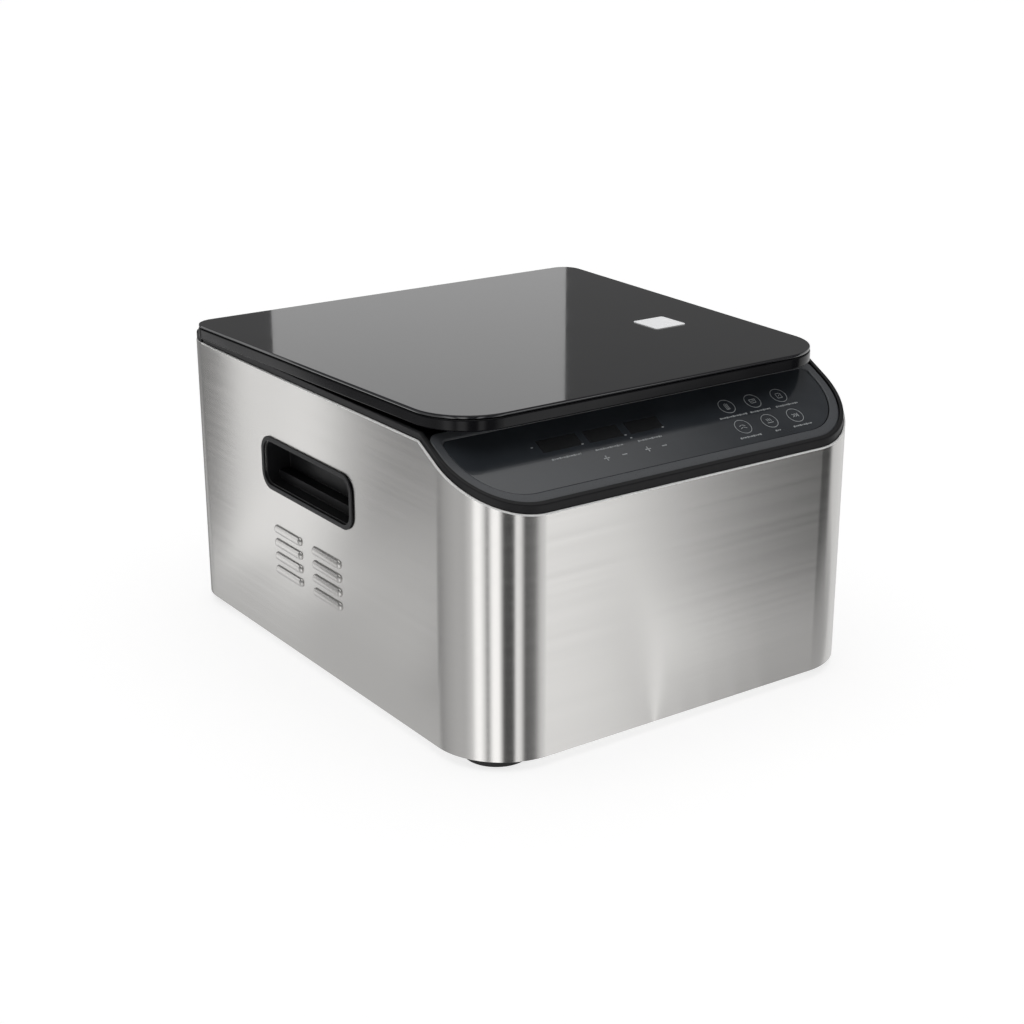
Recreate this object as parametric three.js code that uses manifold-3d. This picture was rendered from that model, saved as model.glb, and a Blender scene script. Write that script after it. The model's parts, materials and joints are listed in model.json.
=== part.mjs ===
// Tabletop chamber vacuum sealer: a machine for bagging food before a water-bath cook.
// Units are millimetres. +Z is up, the front faces -Y, and z = 0 is the table.
import * as THREE from 'three';
import Module from 'manifold-3d';
import { mergeVertices } from 'three/addons/utils/BufferGeometryUtils.js';

const wasm = await Module();
wasm.setup();

// ---------------------------------------------------------------- driving dimensions
const WIDTH = 340;            // casing, left to right
const DEPTH = 418;            // casing, front to back
const HALF_W = WIDTH / 2;
const HALF_D = DEPTH / 2;
const FOOT_HEIGHT = 7;
const STEEL_TOP = 216;        // top edge of the wrap along the sides
const FRONT_TOP = 177;        // top edge of the wrap across the front
const SLOPE_END_Y = -138;     // where the sloping panel meets the level deck
const FRONT_RADIUS = 52;      // casing corners, seen from above
const REAR_RADIUS = 38;
const SHEET = 1.2;            // steel sheet thickness
const GAP = 0.3;              // clearance between touching parts

const LID_HALF_FRONT = 164.2;  // the lid widens from front to rear
const LID_HALF_REAR = 178.8;
const LID_FRONT = -168.6;
const LID_REAR = 169.5;
const LID_BOTTOM = 223.3;
const LID_TOP = 233.9;
const LID_FRONT_RADIUS = 43;
const LID_REAR_RADIUS = 16;

const HINGE_Y = 188;
const HINGE_Z = 208;
const HINGE_X = 120;          // centre of each hinge arm

const CHAMBER = { halfWidth: 142, front: -111, rear: 131, floor: 118, radius: 24 };
const GASKET = { halfWidth: 151.5, front: -123, rear: 141.5, radius: 32, width: 7 };
const SEAL_BAR_Y = -92;

const GRIP = { front: -55, rear: 77, bottom: 125.5, top: 168, radius: 13 };

const SLOPE = (STEEL_TOP - FRONT_TOP) / (SLOPE_END_Y + HALF_D);
const SLOPE_ANGLE = Math.atan(SLOPE);

// ---------------------------------------------------------------- small helpers
// The line of the casing's top edge: sloping at the front, then level.
function edgeHeight(y) {
  return y < SLOPE_END_Y ? FRONT_TOP + (y + HALF_D) * SLOPE : STEEL_TOP;
}

function toSolid(geometry) {
  const bare = geometry.index ? geometry.toNonIndexed() : geometry.clone();
  bare.deleteAttribute('normal');
  bare.deleteAttribute('uv');
  const merged = mergeVertices(bare, 1e-4);
  const mesh = new wasm.Mesh({
    numProp: 3,
    vertProperties: new Float32Array(merged.attributes.position.array),
    triVerts: new Uint32Array(merged.index.array),
  });
  return new wasm.Manifold(mesh);
}

function toGeometry(solid) {
  const mesh = solid.getMesh();
  const geometry = new THREE.BufferGeometry();
  geometry.setAttribute('position', new THREE.BufferAttribute(new Float32Array(mesh.vertProperties), 3));
  geometry.setIndex(new THREE.BufferAttribute(new Uint32Array(mesh.triVerts), 1));
  return geometry;
}

function join(first, ...rest) {
  return rest.reduce((sum, piece) => sum.add(piece), first);
}

function cut(first, ...rest) {
  return rest.reduce((left, piece) => left.subtract(piece), first);
}

// A rectangle seen from above with its own radius on each pair of corners.
function rectangle(x0, x1, y0, y1, frontRadius = 0, rearRadius = frontRadius) {
  const shape = new THREE.Shape();
  const f = frontRadius;
  const r = rearRadius;
  shape.moveTo(x0 + f, y0);
  shape.lineTo(x1 - f, y0);
  if (f > 0) shape.absarc(x1 - f, y0 + f, f, -Math.PI / 2, 0, false);
  shape.lineTo(x1, y1 - r);
  if (r > 0) shape.absarc(x1 - r, y1 - r, r, 0, Math.PI / 2, false);
  shape.lineTo(x0 + r, y1);
  if (r > 0) shape.absarc(x0 + r, y1 - r, r, Math.PI / 2, Math.PI, false);
  shape.lineTo(x0, y0 + f);
  if (f > 0) shape.absarc(x0 + f, y0 + f, f, Math.PI, Math.PI * 1.5, false);
  return shape;
}

function polygon(points) {
  return new THREE.Shape(points.map(([a, b]) => new THREE.Vector2(a, b)));
}

function extrude(shape, depth, segments) {
  return new THREE.ExtrudeGeometry(shape, { depth, bevelEnabled: false, curveSegments: segments });
}

// Shape drawn in x, y and raised from z0 to z1.
function upward(shape, z0, z1, segments = 6) {
  return toSolid(extrude(shape, z1 - z0, segments).translate(0, 0, z0));
}

// Shape drawn in y, z and drawn out from x0 to x1.
function alongX(shape, x0, x1, segments = 6) {
  const turn = new THREE.Matrix4().makeBasis(
    new THREE.Vector3(0, 1, 0), new THREE.Vector3(0, 0, 1), new THREE.Vector3(1, 0, 0));
  return toSolid(extrude(shape, x1 - x0, segments).applyMatrix4(turn).translate(x0, 0, 0));
}

// Shape drawn in x, z and drawn out from y0 to y1.
function alongY(shape, y0, y1, segments = 6) {
  const turn = new THREE.Matrix4().makeBasis(
    new THREE.Vector3(1, 0, 0), new THREE.Vector3(0, 0, 1), new THREE.Vector3(0, -1, 0));
  return toSolid(extrude(shape, y1 - y0, segments).applyMatrix4(turn).translate(0, y1, 0));
}

function box(x0, x1, y0, y1, z0, z1) {
  const geometry = new THREE.BoxGeometry(x1 - x0, y1 - y0, z1 - z0);
  return toSolid(geometry.translate((x0 + x1) / 2, (y0 + y1) / 2, (z0 + z1) / 2));
}

function cylinderZ(radius, x, y, z0, z1, segments = 24, topRadius = radius) {
  const geometry = new THREE.CylinderGeometry(topRadius, radius, z1 - z0, segments);
  return toSolid(geometry.rotateX(Math.PI / 2).translate(x, y, (z0 + z1) / 2));
}

function cylinderX(radius, y, z, x0, x1, segments = 24) {
  const geometry = new THREE.CylinderGeometry(radius, radius, x1 - x0, segments);
  return toSolid(geometry.rotateZ(-Math.PI / 2).translate((x0 + x1) / 2, y, z));
}

function cylinderY(radius, x, z, y0, y1, segments = 24) {
  const geometry = new THREE.CylinderGeometry(radius, radius, y1 - y0, segments);
  return toSolid(geometry.translate(x, (y0 + y1) / 2, z));
}

// A band that follows the casing's top edge, from `low` to `high` above it, full width.
function edgeBand(low, high, yFrom = -HALF_D - 2, yTo = HALF_D + 2) {
  const stops = [yFrom, SLOPE_END_Y, yTo].filter((y) => y >= yFrom && y <= yTo);
  const lower = stops.map((y) => [y, edgeHeight(y) + low]);
  const upper = stops.map((y) => [y, edgeHeight(y) + high]).reverse();
  return alongX(polygon([...lower, ...upper]), -HALF_W - 5, HALF_W + 5);
}

// A block that lies parallel to the sloping panel.
function slopeBlock(x0, x1, y0, y1, low, high) {
  return alongX(polygon([
    [y0, edgeHeight(y0) + low], [y1, edgeHeight(y1) + low],
    [y1, edgeHeight(y1) + high], [y0, edgeHeight(y0) + high],
  ]), x0, x1);
}

// The casing's plan outline, drawn in by `inset`.
function casingOutline(inset) {
  return rectangle(-HALF_W + inset, HALF_W - inset, -HALF_D + inset, HALF_D - inset,
    FRONT_RADIUS - inset, REAR_RADIUS - inset);
}

function casingColumn(inset, z0 = 0, z1 = 260) {
  return upward(casingOutline(inset), z0, z1, 8);
}

// ---------------------------------------------------------------- materials and assembly
const LOOKS = {
  steel: { color: 0xb9babb, roughness: 0.32, metalness: 1.0 },
  blackPlastic: { color: 0x17181a, roughness: 0.55, metalness: 0.0 },
  greyPlastic: { color: 0x4a4d50, roughness: 0.45, metalness: 0.0 },
  lidGlass: { color: 0x0b0c0f, roughness: 0.05, metalness: 0.0 },
  overlay: { color: 0x1b2027, roughness: 0.08, metalness: 0.0 },
  rubber: { color: 0x111111, roughness: 0.85, metalness: 0.0 },
  silicone: { color: 0xb8b4ad, roughness: 0.7, metalness: 0.0 },
  aluminium: { color: 0xa9acb0, roughness: 0.4, metalness: 1.0 },
  brass: { color: 0xb08d4a, roughness: 0.35, metalness: 1.0 },
  iron: { color: 0x5a5c5f, roughness: 0.5, metalness: 0.9 },
  copper: { color: 0x7a3d22, roughness: 0.45, metalness: 0.4 },
  board: { color: 0x1f5a38, roughness: 0.6, metalness: 0.0 },
  white: { color: 0xe6e6e2, roughness: 0.6, metalness: 0.0 },
  tape: { color: 0x9b7b52, roughness: 0.6, metalness: 0.0 },
};

const group = new THREE.Group();
group.name = 'chamber_vacuum_sealer';

function place(name, shape, look, parent = group) {
  const geometry = shape.isBufferGeometry ? shape : toGeometry(shape);
  const mesh = new THREE.Mesh(geometry, new THREE.MeshStandardMaterial(LOOKS[look]));
  mesh.name = name;
  parent.add(mesh);
  return mesh;
}

function subgroup(name) {
  const part = new THREE.Group();
  part.name = name;
  group.add(part);
  return part;
}

const SIDES = [['left', -1], ['right', 1]];

// ---------------------------------------------------------------- casing
const casing = subgroup('casing');

// One pressed louvre: a shallow hood on the outside with a slot along its lower edge.
const LOUVRE = { length: 40, height: 7, stand: 2.2, columns: [42.5, -13.5], top: 97.5, pitch: 10.6, rows: 4 };

function louvreOutline(y, z) {
  const half = LOUVRE.length / 2;
  const high = LOUVRE.height / 2;
  return rectangle(y - half, y + half, z - high, z + high, high - 0.05, high - 0.05);
}

function gripOutline(inset) {
  return rectangle(GRIP.front + inset, GRIP.rear - inset, GRIP.bottom + inset, GRIP.top - inset,
    GRIP.radius - inset, GRIP.radius - inset);
}

function buildWrap() {
  let wrap = cut(casingColumn(0, FOOT_HEIGHT, STEEL_TOP), casingColumn(SHEET, 0, 260));
  wrap = cut(wrap, edgeBand(0, 80));
  // The back is open between two short lips, and the rear corners drop under the hinge cover.
  wrap = cut(wrap, box(-118, 118, 190, 215, 0, 260));
  wrap = cut(wrap, box(-180, 180, 186, 215, 210, 260));
  for (const [, side] of SIDES) {
    const outer = side * HALF_W;
    wrap = cut(wrap, alongX(gripOutline(3.7), outer - 5, outer + 5, 5));
    for (const y of LOUVRE.columns) {
      for (let row = 0; row < LOUVRE.rows; row += 1) {
        const z = LOUVRE.top - row * LOUVRE.pitch;
        const x0 = side > 0 ? outer - SHEET : outer - LOUVRE.stand;
        const x1 = side > 0 ? outer + LOUVRE.stand : outer + SHEET;
        const hood = alongX(louvreOutline(y, z), x0, x1, 2);
        const pocket0 = side > 0 ? outer - 3 : outer - LOUVRE.stand + 0.9;
        const pocket1 = side > 0 ? outer + LOUVRE.stand - 0.9 : outer + 3;
        const slot = box(pocket0, pocket1, y - 16.5, y + 16.5, z - 5.2, z + 2.3);
        wrap = cut(join(wrap, hood), slot);
      }
    }
  }
  return wrap;
}
place('casing_wrap', buildWrap(), 'steel', casing);

function buildBase() {
  let base = casingColumn(1.6, FOOT_HEIGHT, FOOT_HEIGHT + SHEET);
  for (let i = 0; i < 5; i += 1) {
    base = cut(base, upward(rectangle(-60, 60, -60 + i * 14, -54 + i * 14, 2.9), 0, 20, 1));
  }
  return base;
}
place('base_plate', buildBase(), 'steel', casing);

const FAN = { x: -95, z: 104, half: 40 };
const INLET = { x: 90, z: 42 };
const SWITCH = { x: 48, z: 42 };
const FUSE = { x: 20, z: 42 };

function buildRearPanel() {
  let panel = box(-130, 130, 206, 207.5, 8.7, 209.4);
  for (let i = -4; i <= 4; i += 1) {
    const half = Math.sqrt(37 ** 2 - (i * 8) ** 2);
    panel = cut(panel, alongY(rectangle(FAN.x - half, FAN.x + half, FAN.z + i * 8 - 2.4,
      FAN.z + i * 8 + 2.4, 2.3), 200, 212, 1));
  }
  panel = cut(panel, box(INLET.x - 14.3, INLET.x + 14.3, 200, 212, INLET.z - 10.8, INLET.z + 10.8));
  panel = cut(panel, box(SWITCH.x - 10.3, SWITCH.x + 10.3, 200, 212, SWITCH.z - 14.3, SWITCH.z + 14.3));
  panel = cut(panel, cylinderY(6.8, FUSE.x, FUSE.z, 200, 212));
  for (let i = 0; i < 6; i += 1) {
    panel = cut(panel, alongY(rectangle(10, 100, 120 + i * 10, 124 + i * 10, 1.9), 200, 212, 1));
  }
  return panel;
}
place('rear_panel', buildRearPanel(), 'steel', casing);

const FOOT_RADIUS = 22;
const SCREW_DISH = { radius: 5, depth: 3 };
for (const [end, x, y] of [['front', 134, -173], ['rear', 138, 175]]) {
  for (const [hand, side] of SIDES) {
    const foot = cylinderZ(FOOT_RADIUS, side * x, y, 0, FOOT_HEIGHT - GAP, 36, FOOT_RADIUS + 1);
    const dish = cylinderZ(SCREW_DISH.radius, side * x, y, -1, SCREW_DISH.depth, 16);
    place(`foot_${end}_${hand}`, cut(foot, dish), 'rubber', casing);
  }
}

function buildGripCup(side) {
  const x = (a) => side * a;
  const span = (a, b) => [Math.min(x(a), x(b)), Math.max(x(a), x(b))];
  const flange = alongX(gripOutline(0), ...span(HALF_W + GAP, HALF_W + 1.5), 5);
  const tub = alongX(gripOutline(4), ...span(HALF_W - 23, HALF_W + 1), 5);
  const hollow = alongX(gripOutline(6), ...span(HALF_W - 21, HALF_W + 5), 5);
  const ledge = alongX(polygon([[GRIP.front + 7, GRIP.bottom + 5], [GRIP.rear - 7, GRIP.bottom + 5],
    [GRIP.rear - 11, GRIP.bottom + 13], [GRIP.front + 11, GRIP.bottom + 13]]),
  ...span(HALF_W - 22, HALF_W - 13));
  return join(cut(join(flange, tub), hollow), ledge);
}
for (const [hand, side] of SIDES) place(`grip_cup_${hand}`, buildGripCup(side), 'blackPlastic', casing);

// ---------------------------------------------------------------- top deck and control panel
const deck = subgroup('deck');

const DISPLAYS = [
  { name: 'display_left', x: -77.5, half: 16 },
  { name: 'display_middle', x: -41.5, half: 14 },
  { name: 'display_right', x: -7, half: 14 },
];
const DISPLAY_Y = -164;

function chamberOutline(grow) {
  return rectangle(-CHAMBER.halfWidth - grow, CHAMBER.halfWidth + grow, CHAMBER.front - grow,
    CHAMBER.rear + grow, CHAMBER.radius + grow, CHAMBER.radius + grow);
}

function gasketOutline(grow) {
  return rectangle(-GASKET.halfWidth - grow, GASKET.halfWidth + grow, GASKET.front - grow,
    GASKET.rear + grow, GASKET.radius + grow, GASKET.radius + grow);
}

function buildTopFrame() {
  const rim = casingColumn(1.5).intersect(edgeBand(GAP, 5));
  const plate = casingColumn(1.6).intersect(edgeBand(-3, 1));
  const skirt = cut(casingColumn(1.6), casingColumn(3.6)).intersect(edgeBand(-12, 0.6));
  let frame = join(rim, plate, skirt);
  frame = cut(frame, casingColumn(4.6).intersect(edgeBand(1, 20)));
  frame = cut(frame, upward(chamberOutline(1.2), 190, 240, 6));
  const groove = cut(upward(gasketOutline(GASKET.width / 2 + GAP), 214, 240, 6),
    upward(gasketOutline(-GASKET.width / 2 - GAP), 200, 250, 6));
  frame = cut(frame, groove);
  for (const display of DISPLAYS) {
    frame = cut(frame, slopeBlock(display.x - display.half - GAP, display.x + display.half + GAP,
      DISPLAY_Y - 6.3, DISPLAY_Y + 6.3, -20, 20));
  }
  frame = cut(frame, box(-180, 180, 172, 220, 0, 260));
  for (const [, side] of SIDES) {
    frame = cut(frame, box(side * HINGE_X - 6.5, side * HINGE_X + 6.5, 149, 175, 190, 260));
  }
  return frame;
}
place('top_frame', buildTopFrame(), 'blackPlastic', deck);

function panelOutline(inset, rear, rearRadius) {
  return rectangle(-HALF_W + inset, HALF_W - inset, -HALF_D + inset, rear,
    FRONT_RADIUS - inset, rearRadius);
}

const bezel = cut(
  upward(panelOutline(5.0, -139.4, 8), 100, 260, 8),
  upward(panelOutline(12.2, -145.6, 5), 90, 270, 8),
).intersect(edgeBand(1.3, 3.6));
place('panel_bezel', bezel, 'greyPlastic', deck);

const overlay = upward(panelOutline(12.5, -145.9, 4.7), 100, 260, 8).intersect(edgeBand(1.3, 3.0));
place('control_overlay', overlay, 'overlay', deck);

for (const display of DISPLAYS) {
  place(display.name, slopeBlock(display.x - display.half, display.x + display.half,
    DISPLAY_Y - 6, DISPLAY_Y + 6, -6, 1.0), 'overlay', deck);
}

function buildControlBoard() {
  let board = slopeBlock(-120, 135, -196, -152, -9.6, -8);
  for (let i = 0; i < 6; i += 1) {
    board = join(board, slopeBlock(-110 + i * 40, -92 + i * 40, -188, -176, -16, -9));
  }
  return join(board, slopeBlock(60, 90, -172, -156, -20, -9), slopeBlock(-30, -6, -172, -160, -14, -9));
}
place('control_board', buildControlBoard(), 'board', deck);

// ---------------------------------------------------------------- vacuum chamber
const chamber = subgroup('chamber');

function buildTub() {
  const flangeTop = 212.7;
  const tub = upward(chamberOutline(SHEET), CHAMBER.floor - SHEET, flangeTop, 6);
  const flange = upward(chamberOutline(13), flangeTop - SHEET, flangeTop, 6);
  const hollow = upward(chamberOutline(0), CHAMBER.floor, flangeTop + 5, 6);
  const port = cylinderY(7.3, 30, 150, CHAMBER.rear - 5, CHAMBER.rear + 5, 20);
  return cut(join(tub, flange), hollow, port);
}
place('chamber_tub', buildTub(), 'steel', chamber);

const gasket = cut(
  upward(gasketOutline(GASKET.width / 2), 214.3, 223.7, 6),
  upward(gasketOutline(-GASKET.width / 2), 200, 240, 6),
);
place('chamber_gasket', gasket, 'rubber', chamber);

const filler = cut(
  upward(rectangle(-128, 128, -72, 122, 16), CHAMBER.floor + GAP, CHAMBER.floor + 10, 5),
  upward(rectangle(-18, 18, -60, -48, 5.9), 100, 200, 4),
);
place('filler_plate', filler, 'white', chamber);

for (const [hand, side] of SIDES) {
  const guide = cut(
    cylinderZ(11, side * 95, SEAL_BAR_Y, CHAMBER.floor + GAP, 190, 28),
    cylinderZ(4.4, side * 95, SEAL_BAR_Y, 141, 200, 20),
  );
  place(`lift_cylinder_${hand}`, guide, 'blackPlastic', chamber);
}

const portFitting = cut(
  join(cylinderY(7, 30, 150, CHAMBER.rear - 3, CHAMBER.rear + 12, 20),
    cylinderY(10, 30, 150, CHAMBER.rear - 4, CHAMBER.rear - GAP, 20)),
  cylinderY(4, 30, 150, 100, 200, 16),
);
place('vacuum_port', portFitting, 'brass', chamber);

// ---------------------------------------------------------------- seal bar (rises to weld the bag)
const sealBar = subgroup('seal_bar_unit');

const barProfile = polygon([
  [SEAL_BAR_Y - 8, 199], [SEAL_BAR_Y + 8, 199], [SEAL_BAR_Y + 8, 207], [SEAL_BAR_Y + 6.5, 208.3],
  [SEAL_BAR_Y - 6.5, 208.3], [SEAL_BAR_Y - 8, 207],
]);
const barRods = SIDES.map(([, side]) => cylinderZ(4, side * 95, SEAL_BAR_Y, 150, 200, 20));
const barEnds = SIDES.map(([, side]) => cylinderX(5.5, SEAL_BAR_Y, 203.4, side * 133 - 4, side * 133 + 4, 16));
place('seal_bar', join(alongX(barProfile, -130, 130), ...barRods, ...barEnds), 'aluminium', sealBar);
place('heating_strip', box(-128, 128, SEAL_BAR_Y - 2, SEAL_BAR_Y + 2, 208.6, 209.1), 'steel', sealBar);
place('seal_tape', box(-130, 130, SEAL_BAR_Y - 6.4, SEAL_BAR_Y + 6.4, 209.4, 209.8), 'tape', sealBar);

// ---------------------------------------------------------------- lid
const lid = subgroup('lid');
const FRAME_TOP = 231.2;
const WINDOW = { halfWidth: 159.8, front: -135, rear: 150, radius: 22 };

const LID_SPREAD = Math.atan((LID_HALF_REAR - LID_HALF_FRONT) / (LID_REAR - LID_FRONT));

// The lid seen from above: straight sides that spread towards the rear, joined by corner arcs.
function lidOutline(inset) {
  const front = LID_FRONT_RADIUS - inset;
  const rear = LID_REAR_RADIUS - inset;
  const frontY = LID_FRONT + LID_FRONT_RADIUS;
  const rearY = LID_REAR - LID_REAR_RADIUS;
  const arcX = (y, radius) => LID_HALF_FRONT + (y - LID_FRONT) * Math.tan(LID_SPREAD)
    - radius / Math.cos(LID_SPREAD);
  const frontX = arcX(frontY, LID_FRONT_RADIUS);
  const rearX = arcX(rearY, LID_REAR_RADIUS);
  const quarter = Math.PI / 2;
  const shape = new THREE.Shape();
  shape.moveTo(-frontX, LID_FRONT + inset);
  shape.lineTo(frontX, LID_FRONT + inset);
  shape.absarc(frontX, frontY, front, -quarter, -LID_SPREAD, false);
  shape.absarc(rearX, rearY, rear, -LID_SPREAD, quarter, false);
  shape.absarc(-rearX, rearY, rear, quarter, 2 * quarter + LID_SPREAD, false);
  shape.absarc(-frontX, frontY, front, 2 * quarter + LID_SPREAD, 3 * quarter, false);
  return shape;
}

function windowOutline(inset) {
  return rectangle(-WINDOW.halfWidth + inset, WINDOW.halfWidth - inset, WINDOW.front + inset,
    WINDOW.rear - inset, WINDOW.radius - inset, WINDOW.radius - inset);
}

const lidFrame = cut(
  join(upward(lidOutline(0), LID_BOTTOM + 1.2, FRAME_TOP, 8), upward(lidOutline(1.2), LID_BOTTOM, FRAME_TOP, 8)),
  upward(windowOutline(0), 200, 260, 6),
);
place('lid_frame', lidFrame, 'blackPlastic', lid);

const lidGlass = join(
  upward(lidOutline(0.2), FRAME_TOP + GAP, LID_TOP - 0.9, 8),
  upward(lidOutline(1.1), FRAME_TOP + GAP, LID_TOP, 8),
  upward(windowOutline(GAP), 224.0, FRAME_TOP + 1, 6),
);
place('lid_glass', lidGlass, 'lidGlass', lid);

const labelPlate = upward(rectangle(94, 122.5, -54, -25.5, 2), LID_TOP + 0.15, LID_TOP + 0.55, 4);
place('lid_label', labelPlate, 'white', lid);

const holder = cut(
  box(-132, 132, SEAL_BAR_Y - 9, SEAL_BAR_Y + 9, 218.5, 223.7),
  box(-140, 140, SEAL_BAR_Y - 5.3, SEAL_BAR_Y + 5.3, 210, 221.5),
);
place('backing_holder', holder, 'aluminium', lid);
place('backing_strip', box(-131, 131, SEAL_BAR_Y - 5, SEAL_BAR_Y + 5, 216.3, 221.2), 'silicone', lid);

const ARM_PROFILE = [
  [151, 223], [151, 218.6], [166, 217.2], [180.6, 205], [183, 201.8], [188, 200], [193.5, 202.2],
  [196, 208], [194, 213.6], [188.5, 216], [181, 217.5], [173.5, 223],
];
for (const [hand, side] of SIDES) {
  const x = side * HINGE_X;
  const arm = cut(alongX(polygon(ARM_PROFILE), x - 5, x + 5), cylinderX(3.3, HINGE_Y, HINGE_Z, x - 9, x + 9));
  place(`hinge_arm_${hand}`, arm, 'steel', lid);
}

// ---------------------------------------------------------------- hinge
const hinge = subgroup('hinge');

function buildHingeCover() {
  const strip = box(-180, 180, 172.3, 220, 0, 260);
  const top = casingColumn(0.4).intersect(box(-180, 180, 172.3, 220, 216.3, 220.6));
  const skirt = cut(casingColumn(0.4), casingColumn(4)).intersect(box(-180, 180, 186.3, 220, 210.3, 217));
  const lining = cut(casingColumn(1.6), casingColumn(4)).intersect(strip)
    .intersect(box(-180, 180, 172.3, 186.4, 206, 217));
  let cover = join(top, skirt, lining);
  for (const [, side] of SIDES) {
    cover = cut(cover, box(side * HINGE_X - 5.9, side * HINGE_X + 5.9, 165, 200, 150, 260));
  }
  return cover;
}
place('hinge_cover', buildHingeCover(), 'blackPlastic', hinge);

const beam = cut(
  box(-140, 140, 174, 204, 180, 188.7),
  box(-150, 150, 176, 202, 170, 186.7),
);
place('hinge_beam', beam, 'steel', hinge);

for (const [hand, side] of SIDES) {
  const x = side * HINGE_X;
  const ear = polygon([[178, 189], [200, 189], [200, 208], [196.5, 213], [190, 215.5], [185, 215.3], [178, 208]]);
  const bracket = cut(
    join(box(x - 14, x + 14, 176, 202, 189, 191.2), alongX(ear, x - 9.4, x - 7), alongX(ear, x + 7, x + 9.4)),
    cylinderX(3.3, HINGE_Y, HINGE_Z, x - 12, x + 12),
  );
  place(`hinge_bracket_${hand}`, bracket, 'steel', hinge);
  place(`hinge_pin_${hand}`, cylinderX(3, HINGE_Y, HINGE_Z, x - 11, x + 11, 20), 'steel', hinge);
}

// ---------------------------------------------------------------- vacuum pump
const pump = subgroup('pump');
const SHAFT_Y = 62;
const SHAFT_Z = 58;

const pumpPlate = box(-118, 118, SHAFT_Y - 38, SHAFT_Y + 38, 15, 18);
place('pump_plate', pumpPlate, 'steel', pump);
for (const [hand, side] of SIDES) {
  const strip = rectangle(side * 104 - 8, side * 104 + 8, SHAFT_Y - 36, SHAFT_Y + 36, 7.9);
  place(`pump_mount_${hand}`, upward(strip, 8.5, 14.7, 4), 'rubber', pump);
}

const motor = cut(
  join(cylinderX(33, SHAFT_Y, SHAFT_Z, -52, 52, 32), box(-40, 40, SHAFT_Y - 26, SHAFT_Y + 26, 18.3, SHAFT_Z)),
  cylinderX(5.2, SHAFT_Y, SHAFT_Z, -60, 60, 16),
);
place('pump_motor', motor, 'iron', pump);

for (const [hand, side] of SIDES) {
  const x0 = Math.min(side * 53, side * 103);
  const x1 = Math.max(side * 53, side * 103);
  let head = box(x0, x1, SHAFT_Y - 26, SHAFT_Y + 26, 18.3, 88);
  for (let i = 0; i < 4; i += 1) {
    const fin = box(x0 + 3 + i * 12, x0 + 9 + i * 12, SHAFT_Y - 30, SHAFT_Y + 30, 84, 104);
    head = join(head, fin);
  }
  head = cut(join(head, box(x0, x1, SHAFT_Y - 30, SHAFT_Y + 30, 84, 90)),
    cylinderX(19, SHAFT_Y, SHAFT_Z, x0 - 5, x1 + 5, 24));
  place(`pump_head_${hand}`, head, 'aluminium', pump);
}

const rotor = join(
  cylinderX(4.9, SHAFT_Y, SHAFT_Z, -100, 100, 16),
  cylinderX(11, SHAFT_Y, SHAFT_Z + 3, -88, -70, 20),
  cylinderX(11, SHAFT_Y, SHAFT_Z - 3, 70, 88, 20),
);
place('pump_shaft', rotor, 'steel', pump);

// ---------------------------------------------------------------- valves, hoses, electrics
const services = subgroup('services');

const valveBlock = cut(
  box(-2, 62, 146, 172, 100, 122),
  cylinderZ(3.5, 30, 159, 110, 130, 16),
);
place('valve_block', valveBlock, 'brass', services);
for (const [name, x] of [['valve_coil_vacuum', 10], ['valve_coil_vent', 50]]) {
  place(name, join(cylinderZ(11, x, 159, 122.3, 150, 20), box(x - 13, x + 13, 147, 171, 126, 146)),
    'copper', services);
}

function hose(name, points, radius) {
  const path = new THREE.CatmullRomCurve3(points.map(([x, y, z]) => new THREE.Vector3(x, y, z)));
  const ring = new THREE.Shape();
  ring.absarc(0, 0, radius, 0, Math.PI * 2, false);
  const tube = new THREE.ExtrudeGeometry(ring, {
    steps: 18, bevelEnabled: false, extrudePath: path, curveSegments: 6,
  });
  place(name, toSolid(tube), 'rubber', services);
}
hose('port_hose', [[30, 143.6, 150], [30, 158, 150], [30, 159.5, 140], [30, 159, 122.6]], 4.5);
hose('pump_hose', [[78, 92.5, 70], [80, 115, 72], [84, 148, 90], [74, 159, 110], [62.6, 159, 111]], 5);

const core = cut(
  box(62, 146, -78, -46, 12, 82),
  box(76, 92, -90, -30, 26, 68),
  box(116, 132, -90, -30, 26, 68),
);
place('transformer_core', core, 'iron', services);
const coil = cut(
  upward(rectangle(79, 129, -91, -33, 6), 28, 66, 3),
  box(91.6, 116.4, -78.4, -45.6, 20, 70),
);
place('transformer_coil', coil, 'copper', services);

function buildPowerBoard() {
  let board = box(-140, 20, -150, -40, 16, 17.8);
  for (let i = 0; i < 4; i += 1) board = join(board, cylinderZ(9, -120 + i * 26, -130, 17, 46, 16));
  board = join(board, box(-130, -90, -100, -60, 17, 38), box(-70, -20, -95, -60, 17, 30));
  for (let i = 0; i < 5; i += 1) board = join(board, box(-10 + i * 5, -8 + i * 5, -110, -50, 17, 50));
  for (const x of [-134, 12]) {
    for (const y of [-144, -46]) board = join(board, cylinderZ(3, x, y, 8.5, 17, 8));
  }
  return board;
}
place('power_board', buildPowerBoard(), 'board', services);

// ---------------------------------------------------------------- cooling fan
const cooling = subgroup('cooling');

function buildFanFrame() {
  const { x, z, half } = FAN;
  let frame = box(x - half, x + half, 180, 205.6, z - half, z + half);
  frame = cut(frame, cylinderY(38.2, x, z, 170, 210, 36));
  const struts = join(
    box(x - 39.5, x + 39.5, 180, 183, z - 2, z + 2),
    box(x - 2, x + 2, 180, 183, z - 39.5, z + 39.5),
    cylinderY(15, x, z, 180, 183, 24),
  );
  return join(frame, struts);
}
place('fan_frame', buildFanFrame(), 'blackPlastic', cooling);

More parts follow.
